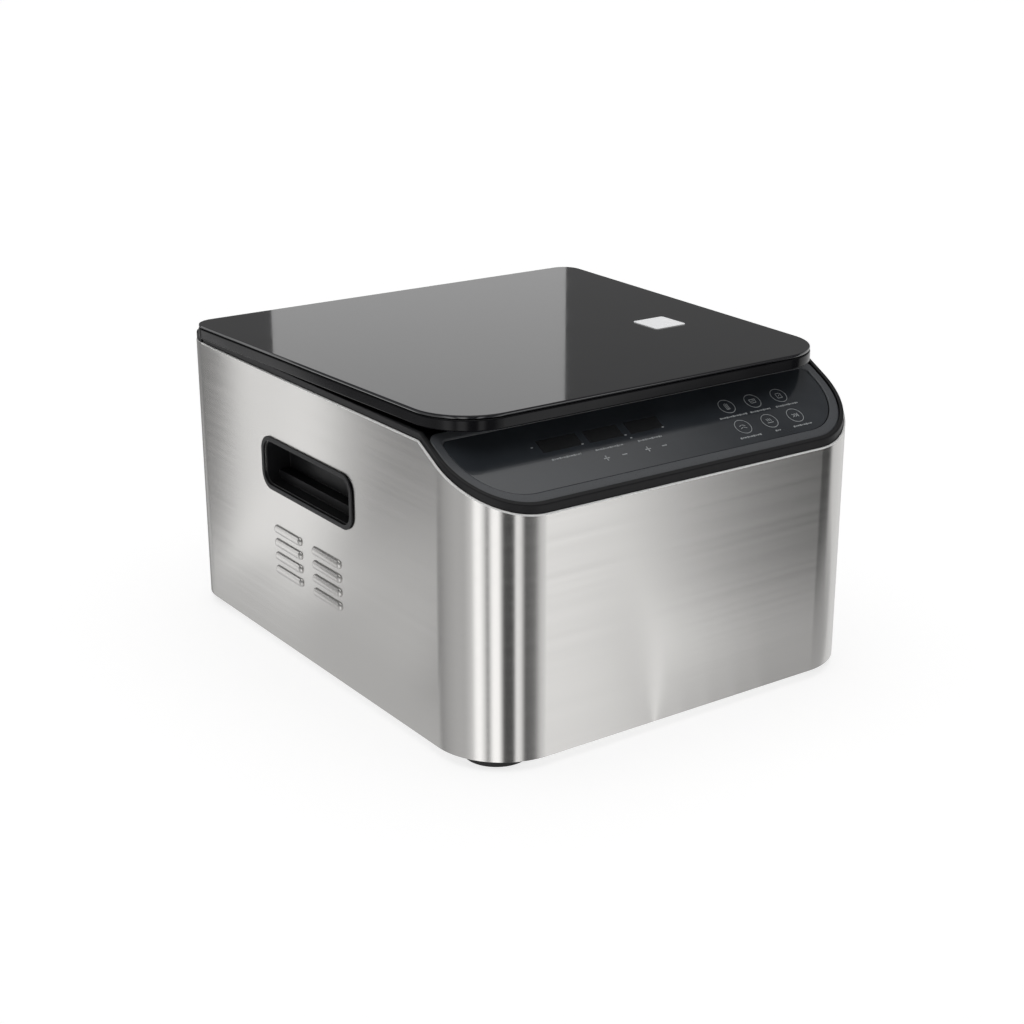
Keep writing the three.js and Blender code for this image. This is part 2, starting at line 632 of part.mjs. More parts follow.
function buildFanRotor() {
  let fan = cylinderY(16, 0, 0, -9.5, 9.5, 24);
  const blades = 7;
  for (let i = 0; i < blades; i += 1) {
    const blade = new THREE.BoxGeometry(22, 2, 17);
    blade.rotateX(0.75).translate(25.5, 0, 0).rotateY((i / blades) * Math.PI * 2);
    fan = join(fan, toSolid(blade));
  }
  return fan;
}
const fanRotor = place('fan_rotor', buildFanRotor(), 'blackPlastic', cooling);
fanRotor.position.set(FAN.x, 194, FAN.z);

// ---------------------------------------------------------------- power inlet, switch and fuse
const mains = subgroup('mains');

function buildInlet() {
  const { x, z } = INLET;
  const flange = alongY(rectangle(x - 24, x + 24, z - 12, z + 12, 6), 207.8, 209, 5);
  const body = box(x - 14, x + 14, 184, 208.5, z - 10.5, z + 10.5);
  const recess = alongY(polygon([[x - 12, z - 8.4], [x + 12, z - 8.4], [x + 12, z + 3], [x + 7, z + 8.4],
    [x - 7, z + 8.4], [x - 12, z + 3]]), 191, 215);
  let inlet = cut(join(flange, body), recess);
  for (const [px, pz] of [[-7, -2], [7, -2], [0, 2]]) {
    inlet = join(inlet, box(x + px - 1, x + px + 1, 190, 206, z + pz - 2, z + pz + 2));
  }
  return inlet;
}
place('power_inlet', buildInlet(), 'blackPlastic', mains);

const switchHousing = cut(
  join(box(SWITCH.x - 12, SWITCH.x + 12, 207.8, 208.9, SWITCH.z - 16, SWITCH.z + 16),
    box(SWITCH.x - 10, SWITCH.x + 10, 192, 208.4, SWITCH.z - 14, SWITCH.z + 14)),
  box(SWITCH.x - 7.5, SWITCH.x + 7.5, 196, 215, SWITCH.z - 11.5, SWITCH.z + 11.5),
);
place('switch_housing', switchHousing, 'blackPlastic', mains);

const rocker = new THREE.Shape();
rocker.moveTo(-10.5, 1.5);
rocker.quadraticCurveTo(0, -0.8, 10.5, 1.5);
rocker.lineTo(10, -1.5);
rocker.lineTo(3, -6);
rocker.lineTo(-3, -6);
rocker.lineTo(-10, -1.5);
const rockerTurn = new THREE.Matrix4().makeBasis(
  new THREE.Vector3(0, 0, 1), new THREE.Vector3(0, 1, 0), new THREE.Vector3(-1, 0, 0));
const rockerGeometry = extrude(rocker, 14, 6).translate(0, 0, -7).applyMatrix4(rockerTurn);
const rockerMesh = place('switch_rocker', toSolid(rockerGeometry), 'blackPlastic', mains);
rockerMesh.position.set(SWITCH.x, 205.4, SWITCH.z);
rockerMesh.rotation.x = 0.14;

const fuseHolder = cut(
  join(cylinderY(6.5, FUSE.x, FUSE.z, 185, 208.4, 20), cylinderY(8.5, FUSE.x, FUSE.z, 207.8, 209, 20)),
  box(FUSE.x - 5, FUSE.x + 5, 208.2, 212, FUSE.z - 1, FUSE.z + 1),
);
place('fuse_holder', fuseHolder, 'blackPlastic', mains);

export default group;
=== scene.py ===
# %% [markdown]
# # A tabletop chamber vacuum sealer
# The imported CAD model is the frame: it fixes every size and every moving body. This lesson adds
# the looks. First come the camera and the studio, then the finishes, then the pieces whose round
# corners and soft edges the faceted frame can't show. Everything is in metres, and the front
# of the machine faces -Y.

# %% Load the frame
import bpy
import bmesh
import json
import math
from mathutils import Matrix, Vector


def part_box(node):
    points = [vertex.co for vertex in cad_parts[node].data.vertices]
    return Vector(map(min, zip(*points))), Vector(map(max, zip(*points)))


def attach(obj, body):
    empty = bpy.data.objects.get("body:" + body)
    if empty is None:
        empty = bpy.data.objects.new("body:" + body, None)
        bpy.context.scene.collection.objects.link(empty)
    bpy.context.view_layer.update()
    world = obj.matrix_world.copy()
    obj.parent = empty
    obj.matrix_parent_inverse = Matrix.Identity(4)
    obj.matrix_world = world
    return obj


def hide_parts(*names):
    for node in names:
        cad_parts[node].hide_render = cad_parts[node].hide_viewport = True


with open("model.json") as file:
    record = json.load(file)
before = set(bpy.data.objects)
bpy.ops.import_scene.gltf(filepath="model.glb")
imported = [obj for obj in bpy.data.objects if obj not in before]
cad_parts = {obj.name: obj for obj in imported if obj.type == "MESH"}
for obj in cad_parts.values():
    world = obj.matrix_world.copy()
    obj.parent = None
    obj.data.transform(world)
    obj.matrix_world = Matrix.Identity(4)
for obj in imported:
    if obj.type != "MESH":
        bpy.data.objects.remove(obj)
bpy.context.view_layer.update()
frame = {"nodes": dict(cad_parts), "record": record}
scene = bpy.context.scene
bpy.ops.object.select_all(action="DESELECT")

# %% [markdown]
# ## Camera
# A long lens from the front left, a little above the lid, keeps the casing's sides nearly
# parallel. A wide lens close by would make the near corner bulge.

# %% Camera
camera_data = bpy.data.cameras.new("studio_camera")
camera_data.sensor_width = 36.0
camera_data.lens = 64.97
camera = bpy.data.objects.new("studio_camera", camera_data)
scene.collection.objects.link(camera)
camera.location = (-0.7652, -1.0920, 0.5651)
camera.rotation_euler = (math.radians(90 - 19.488), math.radians(0.07), math.radians(-35.047))
scene.camera = camera
print("camera at", tuple(round(v, 3) for v in camera.location))

# %% [markdown]
# ## Studio
# Brushed steel shows the room more than itself, so the room is designed first. Round the
# machine stands a ring of tall soft lamps and dark gaps, and overhead is a wide pale light. It
# could be built from many lamp objects, but a sky that maps direction to brightness gives the
# same picture with no noise and is easy to tune: one ramp holds the ring, one the overhead.

# %% Colours as seen, not film-like
scene.view_settings.view_transform = "Standard"

# %% Ring of lamps: compass bearing in degrees from +X, and brightness
RING = [(-180, 0.62), (-169, 0.9), (-164, 1.6), (-157, 1.6), (-150.5, 0.9), (-146, 0.25),
        (-139, 1.55), (-130, 1.55), (-122.5, 0.1), (-108, 0.05), (-104, 1.3), (-97.5, 1.2),
        (-91.5, 0.12), (-76, 0.18), (-67, 0.8), (-60, 0.9), (-52.5, 1.75), (-50, 0.55),
        (-45, 0.07), (-36, 0.05), (-25, 0.03), (-20.5, 0.72), (-8, 0.82), (22, 0.85), (45, 0.5),
        (104, 0.26), (129, 0.26), (145, 0.5), (165, 0.6)]
# Overhead: height of the direction, 0 level and 1 straight up, and brightness
OVERHEAD = [(0.0, 0.15), (0.3, 0.15), (0.55, 0.15), (0.75, 0.13), (0.79, 0.7), (0.84, 1.1), (1.0, 1.25)]


def fill_ramp(ramp, stops):
    """Sets a ramp to grey steps, given as position and brightness."""
    while len(ramp.elements) < len(stops):
        ramp.elements.new(0.5)
    for element, (position, level) in zip(ramp.elements, stops):
        element.position = position
        element.color = (level, level, level, 1)


# %% The sky
room = bpy.data.worlds.new("studio_room")
scene.world = room
room.use_nodes = True
sky = room.node_tree
direction = sky.nodes.new("ShaderNodeTexCoord")
parts = sky.nodes.new("ShaderNodeSeparateXYZ")
bearing = sky.nodes.new("ShaderNodeMath")
bearing.operation = "ARCTAN2"
turn = sky.nodes.new("ShaderNodeMapRange")
turn.inputs["From Min"].default_value = -math.pi
turn.inputs["From Max"].default_value = math.pi
ring_ramp = sky.nodes.new("ShaderNodeValToRGB")
fill_ramp(ring_ramp.color_ramp, [((angle + 180) / 360, level) for angle, level in RING])
top_ramp = sky.nodes.new("ShaderNodeValToRGB")
fill_ramp(top_ramp.color_ramp, OVERHEAD)
above = sky.nodes.new("ShaderNodeMapRange")
above.interpolation_type = "SMOOTHSTEP"
above.inputs["From Min"].default_value = 0.0
above.inputs["From Max"].default_value = 0.13
blend = sky.nodes.new("ShaderNodeMix")
blend.data_type = "RGBA"
sky.links.new(direction.outputs["Generated"], parts.inputs["Vector"])
sky.links.new(parts.outputs["Y"], bearing.inputs[0])
sky.links.new(parts.outputs["X"], bearing.inputs[1])
sky.links.new(bearing.outputs["Value"], turn.inputs["Value"])
sky.links.new(turn.outputs["Result"], ring_ramp.inputs["Fac"])
sky.links.new(parts.outputs["Z"], top_ramp.inputs["Fac"])
sky.links.new(parts.outputs["Z"], above.inputs["Value"])
sky.links.new(above.outputs["Result"], blend.inputs["Factor"])
sky.links.new(ring_ramp.outputs["Color"], blend.inputs["A"])
sky.links.new(top_ramp.outputs["Color"], blend.inputs["B"])
sky.links.new(blend.outputs["Result"], sky.nodes["Background"].inputs["Color"])
print("sky with", len(RING), "ring steps")

# %% [markdown]
# The floor is plain and pale. It stays out of mirror reflections, so that the steel shows the
# ring of lamps and not a white foot. Pale walls round the floor hide the ring from a low camera.
# Cards then add what the far ring can't: light that changes along a flat wall. A card close to
# the wall is mirrored almost life-size, so its edges land where they are wanted.


# %% A stage plane
def stage_plane(name, corners, glow, colour):
    """A flat four-cornered stage piece that gives off a little light of its own."""
    bpy.ops.object.select_all(action="DESELECT")
    bpy.ops.mesh.primitive_plane_add(size=1.0)
    sheet = bpy.context.object
    sheet.name = name
    for vertex, corner in zip(sheet.data.vertices, corners):
        vertex.co = corner
    paint = bpy.data.materials.new(name + "_paint")
    paint.use_nodes = True
    shader = paint.node_tree.nodes["Principled BSDF"]
    shader.inputs["Base Color"].default_value = (colour, colour, colour, 1)
    shader.inputs["Roughness"].default_value = 0.95
    shader.inputs["Specular IOR Level"].default_value = 0.0
    shader.inputs["Emission Color"].default_value = (1, 1, 1, 1)
    shader.inputs["Emission Strength"].default_value = glow
    sheet.data.materials.append(paint)
    return sheet


# %% Floor, and walls that only the camera sees
FLOOR_REACH = 14
WALL_HEIGHT = 12
ROOM_CORNERS = [(-FLOOR_REACH, -FLOOR_REACH), (FLOOR_REACH, -FLOOR_REACH),
                (FLOOR_REACH, FLOOR_REACH), (-FLOOR_REACH, FLOOR_REACH)]
floor = stage_plane("studio_floor", [(x, y, 0) for y in (-FLOOR_REACH, FLOOR_REACH)
                                     for x in (-FLOOR_REACH, FLOOR_REACH)], 0.74, 0.5)
floor.visible_glossy = False
floor.visible_shadow = False
for number, start in enumerate(ROOM_CORNERS):
    end = ROOM_CORNERS[(number + 1) % 4]
    backdrop = stage_plane(f"studio_wall_{number}", [(*start, 0), (*end, 0), (*start, WALL_HEIGHT),
                                                     (*end, WALL_HEIGHT)], 1.0, 0.0)
    backdrop.visible_glossy = False
    backdrop.visible_diffuse = False
    backdrop.visible_transmission = False
    backdrop.visible_shadow = False
print("floor and", len(ROOM_CORNERS), "walls")

# %% Cards just under the floor: one at the left, and one at the front that fades to the right
CARD_DROP = -0.002
left_card = stage_plane("left_floor_card", [(-0.25, -0.06, CARD_DROP), (-0.172, -0.16, CARD_DROP),
                                            (-0.25, 0.75, CARD_DROP), (-0.172, 0.75, CARD_DROP)],
                        0.50, 0.1)
FRONT_NEAR, FRONT_FAR, FRONT_SKEW = -0.212, -0.335, 0.105
FRONT_EDGES = (-0.025, 0.000, 0.025, 0.050, 0.075, 0.40)
FRONT_GLOWS = (0.66, 0.58, 0.50, 0.43, 0.37)
front_cards = []
for number, glow in enumerate(FRONT_GLOWS):
    ends = FRONT_EDGES[number:number + 2]
    corners = [(x + FRONT_SKEW, FRONT_FAR, CARD_DROP) for x in ends]
    corners += [(x, FRONT_NEAR, CARD_DROP) for x in ends]
    front_cards.append(stage_plane(f"front_floor_card_{number}", corners, glow, 0.1))
print(1 + len(front_cards), "floor cards")

# %% Cards near the left side, square to the way its reflections go
SIDE_BEARING = math.radians(118.5)
SIDE_DISTANCE = 0.45
SIDE_FOOT, SIDE_TOP = -0.40, 0.30
# Sideways place from and to, and brightness
SIDE_CARDS = [(-0.068, -0.042, 1.35), (-0.042, -0.012, 0.92), (-0.012, 0.026, 1.12), (0.026, 0.044, 0.75)]
out = Vector((math.cos(SIDE_BEARING), math.sin(SIDE_BEARING), 0))
sideways = Vector((-out.y, out.x, 0))
side_middle = Vector((-0.17, 0, 0)) + out * SIDE_DISTANCE


def side_corners(start, end, top):
    """The corners of an upright card near the left side."""
    return [(*(side_middle + sideways * place).xy, height) for height in (SIDE_FOOT, top)
            for place in (start, end)]


side_cards = [stage_plane(f"side_card_{number}", side_corners(start, end, SIDE_TOP), glow, 0.05)
              for number, (start, end, glow) in enumerate(SIDE_CARDS)]
low_corners = [(x - 0.001, y, z) for x, y, z in side_corners(-0.12, 0.15, -0.05)]
side_cards.append(stage_plane("side_card_low", low_corners, 0.72, 0.05))
print(len(side_cards), "side cards")

# %% The card behind, which makes the pale patch in the black lid
CARD_LEFT, CARD_RIGHT = math.radians(62.55), math.radians(53.27)
CARD_DISTANCE = 4.3
card_ends = [(camera.location.x + math.cos(a) * CARD_DISTANCE,
              camera.location.y + math.sin(a) * CARD_DISTANCE) for a in (CARD_LEFT, CARD_RIGHT)]
back_card = stage_plane("back_card", [(*end, height) for height in (0.72, 1.35) for end in card_ends],
                        0.68, 0.1)
for flat in (left_card, back_card, *front_cards, *side_cards):
    flat.visible_camera = False
    flat.visible_diffuse = False
    flat.visible_shadow = False
print("back card from", [round(v, 2) for v in card_ends[0]], "to", [round(v, 2) for v in card_ends[1]])

# %% [markdown]
# ## Finishes
# Every finish starts from one Principled shader. Numbers that are the same all over are set
# on the shader itself. A noise in Object coordinates then varies the colour and the roughness
# a little and lifts a fine bump. The noise is stretched along the way the metal was brushed.
# An image texture would need a file and would show seams, so none is used.


# %% A plain finish
def plain_finish(name, colour, roughness, metallic=0.0, coat=0.0, specular=0.5, anisotropic=0.0):
    """A Principled finish whose numbers are the same all over."""
    material = bpy.data.materials.new(name)
    material.use_nodes = True
    shader = material.node_tree.nodes["Principled BSDF"]
    shader.inputs["Base Color"].default_value = (*colour, 1)
    shader.inputs["Roughness"].default_value = roughness
    shader.inputs["Metallic"].default_value = metallic
    shader.inputs["Coat Weight"].default_value = coat
    shader.inputs["Coat Roughness"].default_value = 0.03
    shader.inputs["Specular IOR Level"].default_value = specular
    shader.inputs["Anisotropic"].default_value = anisotropic
    return material


# %% Grain for a finish
def add_grain(material, scale, stretch, bump=0.0, colour_swing=0.0, rough_swing=0.0, detail=3.0):
    """Noise in Object coordinates that moves colour and roughness and lifts a bump."""
    tree = material.node_tree
    shader = tree.nodes["Principled BSDF"]
    place = tree.nodes.new("ShaderNodeTexCoord")
    mapping = tree.nodes.new("ShaderNodeMapping")
    mapping.inputs["Scale"].default_value = stretch
    noise = tree.nodes.new("ShaderNodeTexNoise")
    noise.inputs["Scale"].default_value = scale
    noise.inputs["Detail"].default_value = detail
    tree.links.new(place.outputs["Object"], mapping.inputs["Vector"])
    tree.links.new(mapping.outputs["Vector"], noise.inputs["Vector"])
    if rough_swing:
        rough = tree.nodes.new("ShaderNodeMapRange")
        middle = shader.inputs["Roughness"].default_value
        rough.inputs["From Min"].default_value = 0.3
        rough.inputs["From Max"].default_value = 0.7
        rough.inputs["To Min"].default_value = max(0.0, middle - rough_swing)
        rough.inputs["To Max"].default_value = min(1.0, middle + rough_swing)
        tree.links.new(noise.outputs["Fac"], rough.inputs["Value"])
        tree.links.new(rough.outputs["Result"], shader.inputs["Roughness"])
    if colour_swing:
        ramp = tree.nodes.new("ShaderNodeValToRGB")
        base = shader.inputs["Base Color"].default_value[:3]
        ramp.color_ramp.elements[0].position = 0.3
        ramp.color_ramp.elements[1].position = 0.7
        ramp.color_ramp.elements[0].color = (*[c * (1 - colour_swing) for c in base], 1)
        ramp.color_ramp.elements[1].color = (*[min(1, c * (1 + colour_swing)) for c in base], 1)
        tree.links.new(noise.outputs["Fac"], ramp.inputs["Fac"])
        tree.links.new(ramp.outputs["Color"], shader.inputs["Base Color"])
    if bump:
        lift = tree.nodes.new("ShaderNodeBump")
        lift.inputs["Strength"].default_value = bump
        lift.inputs["Distance"].default_value = 0.0002
        tree.links.new(noise.outputs["Fac"], lift.inputs["Height"])
        tree.links.new(lift.outputs["Normal"], shader.inputs["Normal"])
    return material


# %% Brushed casing steel
def brushed_steel(name, colour, roughness, stretch):
    """Steel brushed along the wall, so a lamp's reflection is drawn out up and down."""
    material = plain_finish(name, colour, roughness, metallic=1.0, anisotropic=1.0)
    shader = material.node_tree.nodes["Principled BSDF"]
    shader.inputs["Anisotropic Rotation"].default_value = 0.25
    around = material.node_tree.nodes.new("ShaderNodeTangent")
    around.direction_type = "RADIAL"
    around.axis = "Z"
    material.node_tree.links.new(around.outputs["Tangent"], shader.inputs["Tangent"])
    return add_grain(material, 90.0, stretch, bump=0.0, colour_swing=0.025, rough_swing=0.02,
                     detail=6.0)


wall_steel = brushed_steel("brushed_casing_steel", (0.67, 0.66, 0.645), 0.23, (0.008, 0.008, 2.2))
print("finish", wall_steel.name)

# %% Finishes for the other slots
FINISHES = {
    "steel": wall_steel,
    "chamber_steel": add_grain(plain_finish("drawn_chamber_steel", (0.60, 0.60, 0.60), 0.30, 1.0),
                               60, (1, 1, 14), 0.06, 0.05, 0.06),
    "plated_steel": add_grain(plain_finish("plated_bracket_steel", (0.52, 0.53, 0.55), 0.34, 1.0),
                              120, (1, 1, 1), 0.10, 0.10, 0.08),
    "foot_rubber": add_grain(plain_finish("foot_rubber", (0.018, 0.018, 0.018), 0.75),
                             900, (1, 1, 1), 0.35, 0.10, 0.08),
    "gasket_rubber": add_grain(plain_finish("gasket_rubber", (0.022, 0.022, 0.024), 0.55),
                               500, (1, 1, 1), 0.15, 0.10, 0.08),
    "hose_rubber": add_grain(plain_finish("hose_rubber", (0.03, 0.03, 0.03), 0.5),
                             300, (1, 1, 1), 0.15, 0.12, 0.08),
    "black_plastic": add_grain(plain_finish("moulded_black_plastic", (0.009, 0.009, 0.010), 0.42,
                                            specular=0.3), 1400, (1, 1, 1), 0.30, 0.10, 0.06),
    "gloss_black": add_grain(plain_finish("glossy_black_plastic", (0.005, 0.005, 0.006), 0.14,
                                          specular=0.18), 40, (1, 1, 1), 0.02, 0.10, 0.03),
    "grey_plastic": add_grain(plain_finish("satin_panel_surround", (0.085, 0.090, 0.098), 0.32),
                              1200, (1, 1, 1), 0.15, 0.08, 0.05),
    "white_plastic": add_grain(plain_finish("white_chopping_plastic", (0.74, 0.74, 0.71), 0.45),
                               400, (1, 1, 1), 0.12, 0.03, 0.06),
    "overlay_gloss": add_grain(plain_finish("glossy_touch_overlay", (0.036, 0.041, 0.048), 0.13,
                                            coat=0.5), 30, (1, 1, 1), 0.01, 0.12, 0.03),
    "display_dark": add_grain(plain_finish("dark_display_window", (0.024, 0.025, 0.026), 0.13,
                                           coat=0.5), 50, (1, 1, 1), 0.0, 0.1, 0.03),
    "circuit_board": add_grain(plain_finish("green_circuit_board", (0.03, 0.14, 0.06), 0.4),
                               250, (1, 1, 1), 0.2, 0.25, 0.08),
    "lid_glass": add_grain(plain_finish("black_backed_glass", (0.010, 0.010, 0.012), 0.045,
                                        specular=0.75, coat=0.3), 18, (1, 1, 1), 0.0, 0.15, 0.012),
    "label": add_grain(plain_finish("blank_white_sticker", (0.85, 0.86, 0.88), 0.35),
                       300, (1, 1, 1), 0.05, 0.02, 0.05),
    "silicone": add_grain(plain_finish("grey_silicone", (0.45, 0.43, 0.40), 0.6),
                          260, (1, 1, 1), 0.15, 0.06, 0.06),
    "seal_tape": plain_finish("brown_woven_tape", (0.30, 0.17, 0.07), 0.42),
    "aluminium": add_grain(plain_finish("extruded_aluminium", (0.66, 0.67, 0.68), 0.36, 1.0),
                           120, (0.15, 3, 3), 0.08, 0.05, 0.06),
    "brass": add_grain(plain_finish("machined_brass", (0.66, 0.46, 0.18), 0.28, 1.0),
                       160, (1, 1, 1), 0.08, 0.08, 0.08),
    "motor_iron": add_grain(plain_finish("painted_motor_iron", (0.05, 0.052, 0.056), 0.48),
                            200, (1, 1, 1), 0.2, 0.15, 0.08),
    "coil_wrap": add_grain(plain_finish("taped_coil", (0.30, 0.12, 0.04), 0.35),
                           150, (1, 1, 10), 0.25, 0.15, 0.08),
}
# The blank sticker gets a painted glow: a little white emission, though it is no lamp.
sticker_glow_shader = FINISHES["label"].node_tree.nodes["Principled BSDF"]
sticker_glow_shader.inputs["Emission Color"].default_value = (1, 1, 1, 1)
sticker_glow_shader.inputs["Emission Strength"].default_value = 0.35
print(len(FINISHES), "finishes")

# %% [markdown]
# The non-stick tape over the heating strip is glass cloth, so it has a visible weave. Two
# crossed wave textures make the threads, and their product lifts the crossings.

# %% Woven tape
tape_tree = FINISHES["seal_tape"].node_tree
tape_place = tape_tree.nodes.new("ShaderNodeTexCoord")
threads = []
for direction in ("X", "Y"):
    wave = tape_tree.nodes.new("ShaderNodeTexWave")
    wave.bands_direction = direction
    wave.inputs["Scale"].default_value = 420.0
    tape_tree.links.new(tape_place.outputs["Object"], wave.inputs["Vector"])
    threads.append(wave)
crossing = tape_tree.nodes.new("ShaderNodeMath")
crossing.operation = "MULTIPLY"
tape_lift = tape_tree.nodes.new("ShaderNodeBump")
tape_lift.inputs["Strength"].default_value = 0.5
tape_lift.inputs["Distance"].default_value = 0.0002
tape_tree.links.new(threads[0].outputs["Fac"], crossing.inputs[0])
tape_tree.links.new(threads[1].outputs["Fac"], crossing.inputs[1])
tape_tree.links.new(crossing.outputs["Value"], tape_lift.inputs["Height"])
tape_tree.links.new(tape_lift.outputs["Normal"], tape_tree.nodes["Principled BSDF"].inputs["Normal"])
print("weave on", FINISHES["seal_tape"].name)

# %% Every frame node gets its slot's finish
slot_of = {row["node"]: row["material_slot"] for row in frame["record"]["subparts"]}
body_of = {node: body for body, nodes in frame["record"]["behaviour"]["bodies"].items() for node in nodes}
for node, thing in frame["nodes"].items():
    thing.data.materials.clear()
    thing.data.materials.append(FINISHES[slot_of[node]])
print(len(slot_of), "nodes painted")

# %% [markdown]
# ## Working by hand
# Most pieces here start as a flat sheet with rounded corners, seen from above, which is then
# drawn upwards and sliced. The few helpers below do what a modeller's hands do: add a sheet,
# pick corners by their place, draw a face out, slice along a plane, round the edges.

# %% Sizes read from the frame
wrap_low, wrap_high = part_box("casing_wrap")
lid_low, lid_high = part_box("lid_glass")
lid_frame_low, lid_frame_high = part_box("lid_frame")
HALF_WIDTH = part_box("base_plate")[1].x + 0.0016
HALF_DEPTH = wrap_high.y
STEEL_TOP = wrap_high.z
STEEL_BOTTOM = wrap_low.z
SLOPE_END = -0.138
FRONT_TOP = 0.177
SLOPE = (STEEL_TOP - FRONT_TOP) / (SLOPE_END + HALF_DEPTH)
SLOPE_NORMAL = Vector((0, -SLOPE, 1)).normalized()
FRONT_RADIUS = 0.052
REAR_RADIUS = 0.038
SHEET = 0.0012
print("casing", round(HALF_WIDTH * 2, 4), round(HALF_DEPTH * 2, 4), "slope", round(SLOPE, 3))


# %% Picking by place
def pick(thing, kind, test):
    """In edit mode, selects only the verts, edges or faces whose middle passes the test."""
    bpy.ops.mesh.select_mode(type=kind)
    bpy.ops.mesh.select_all(action="DESELECT")
    mesh = bmesh.from_edit_mesh(thing.data)
    items = {"VERT": mesh.verts, "EDGE": mesh.edges, "FACE": mesh.faces}[kind]
    chosen = 0
    for item in items:
        if kind == "VERT":
            middle = item.co
        elif kind == "EDGE":
            middle = (item.verts[0].co + item.verts[1].co) / 2
        else:
            middle = item.calc_center_median()
        if test(middle, item):
            item.select_set(True)
            chosen += 1
    mesh.select_flush_mode()
    bmesh.update_edit_mesh(thing.data)
    return chosen


# %% A sheet with rounded corners
def rounded_sheet(name, half_width, front, rear, front_radius, rear_radius, height, steps=20,
                  spread=0.0):
    """A flat sheet seen from above, its corners rounded, and wider at the rear by twice spread."""
    bpy.ops.object.select_all(action="DESELECT")
    bpy.ops.mesh.primitive_plane_add(size=1.0, location=(0, (front + rear) / 2, height))
    sheet = bpy.context.object
    sheet.name = name
    sheet.scale = (half_width * 2, rear - front, 1)
    bpy.ops.object.transform_apply(location=True, rotation=True, scale=True)
    bpy.ops.object.mode_set(mode="EDIT")
    middle = (front + rear) / 2
    for way in (-1, 1):
        pick(sheet, "VERT", lambda at, item: at.y > middle and at.x * way > 0)
        bpy.ops.transform.translate(value=(way * spread, 0, 0))
    pick(sheet, "VERT", lambda at, item: at.y < front + 0.0001)
    bpy.ops.mesh.bevel(offset=front_radius, segments=steps, profile=0.5, affect="VERTICES")
    pick(sheet, "VERT", lambda at, item: at.y > rear - 0.0001 and at.y > middle)
    bpy.ops.mesh.bevel(offset=rear_radius, segments=steps, profile=0.5, affect="VERTICES")
    bpy.ops.object.mode_set(mode="OBJECT")
    return sheet


# %% Drawing out, slicing and turning faces outwards
def draw_up(thing, distance):
    """Draws a flat sheet up into a closed block."""
    bpy.context.view_layer.objects.active = thing
    bpy.ops.object.mode_set(mode="EDIT")
    bpy.ops.mesh.select_all(action="SELECT")
    bpy.ops.mesh.extrude_region_move(TRANSFORM_OT_translate={"value": (0, 0, distance)})
    bpy.ops.mesh.select_all(action="SELECT")
    bpy.ops.mesh.normals_make_consistent(inside=False)
    bpy.ops.object.mode_set(mode="OBJECT")


def slice_off(thing, point, normal, fill=True, above=True, below=False):
    """Cuts along a plane and takes away the side that the normal points to, or the other."""
    bpy.context.view_layer.objects.active = thing
    bpy.ops.object.mode_set(mode="EDIT")
    bpy.ops.mesh.select_all(action="SELECT")
    bpy.ops.mesh.bisect(plane_co=point, plane_no=normal, use_fill=fill, clear_outer=above,
                        clear_inner=below)
    bpy.ops.object.mode_set(mode="OBJECT")


def slope_point(lift):
    """The crease where the panel's slope starts, raised by lift."""
    return (0, SLOPE_END, STEEL_TOP + lift)


# %% Modifiers that are applied at once
def apply_modifier(thing, kind, **settings):
    """Adds a modifier with its settings and applies it."""
    bpy.ops.object.select_all(action="DESELECT")
    bpy.context.view_layer.objects.active = thing
    thing.select_set(True)
    modifier = thing.modifiers.new(kind.lower(), kind)
    for key, value in settings.items():
        setattr(modifier, key, value)
    bpy.ops.object.modifier_apply(modifier=modifier.name)


def cut_with(thing, cutter):
    """Takes the cutter's shape out of a piece, and throws the cutter away."""
    apply_modifier(thing, "BOOLEAN", operation="DIFFERENCE", object=cutter, solver="EXACT")
    bpy.data.objects.remove(cutter, do_unlink=True)


def soften(thing, width, segments=2, angle=35):
    """Rounds every edge sharper than the angle. Large faces then keep their flat look."""
    apply_modifier(thing, "BEVEL", width=width, segments=segments, limit_method="ANGLE",
                   angle_limit=math.radians(angle), harden_normals=False)
    bpy.ops.object.shade_smooth_by_angle(angle=math.radians(40))
    apply_modifier(thing, "WEIGHTED_NORMAL", keep_sharp=True, weight=100)


def join_all(things):
    """Makes one object of several."""
    bpy.ops.object.select_all(action="DESELECT")
    for thing in things:
        thing.select_set(True)
    bpy.context.view_layer.objects.active = things[0]
    if len(things) > 1:
        bpy.ops.object.join()
    return bpy.context.view_layer.objects.active


def settle(thing, finish_slot, body, *nodes):
    """Gives a finished piece its material and its body, and hides the frame nodes it stands for."""
    thing.data.materials.clear()
    thing.data.materials.append(FINISHES[finish_slot])
    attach(thing, body)
    if nodes:
        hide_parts(*nodes)
    print(thing.name, len(thing.data.polygons), "faces")


def block(name, low, high):
    """A cutter or a small block between two corners."""
    bpy.ops.object.select_all(action="DESELECT")
    middle = [(a + b) / 2 for a, b in zip(low, high)]
    bpy.ops.mesh.primitive_cube_add(size=1.0, location=middle)
    made = bpy.context.object
    made.name = name
    made.scale = [b - a for a, b in zip(low, high)]
    bpy.ops.object.transform_apply(location=True, rotation=True, scale=True)
    return made


# %% [markdown]
# ## Casing wrap
# One sheet of stainless steel is bent round the machine. Its top edge is level along the sides
# and drops along the sloping panel, and each side has a grip hole and pressed louvres. A sheet
# outline is drawn up as a bare wall, sliced, given its thickness, and then cut.

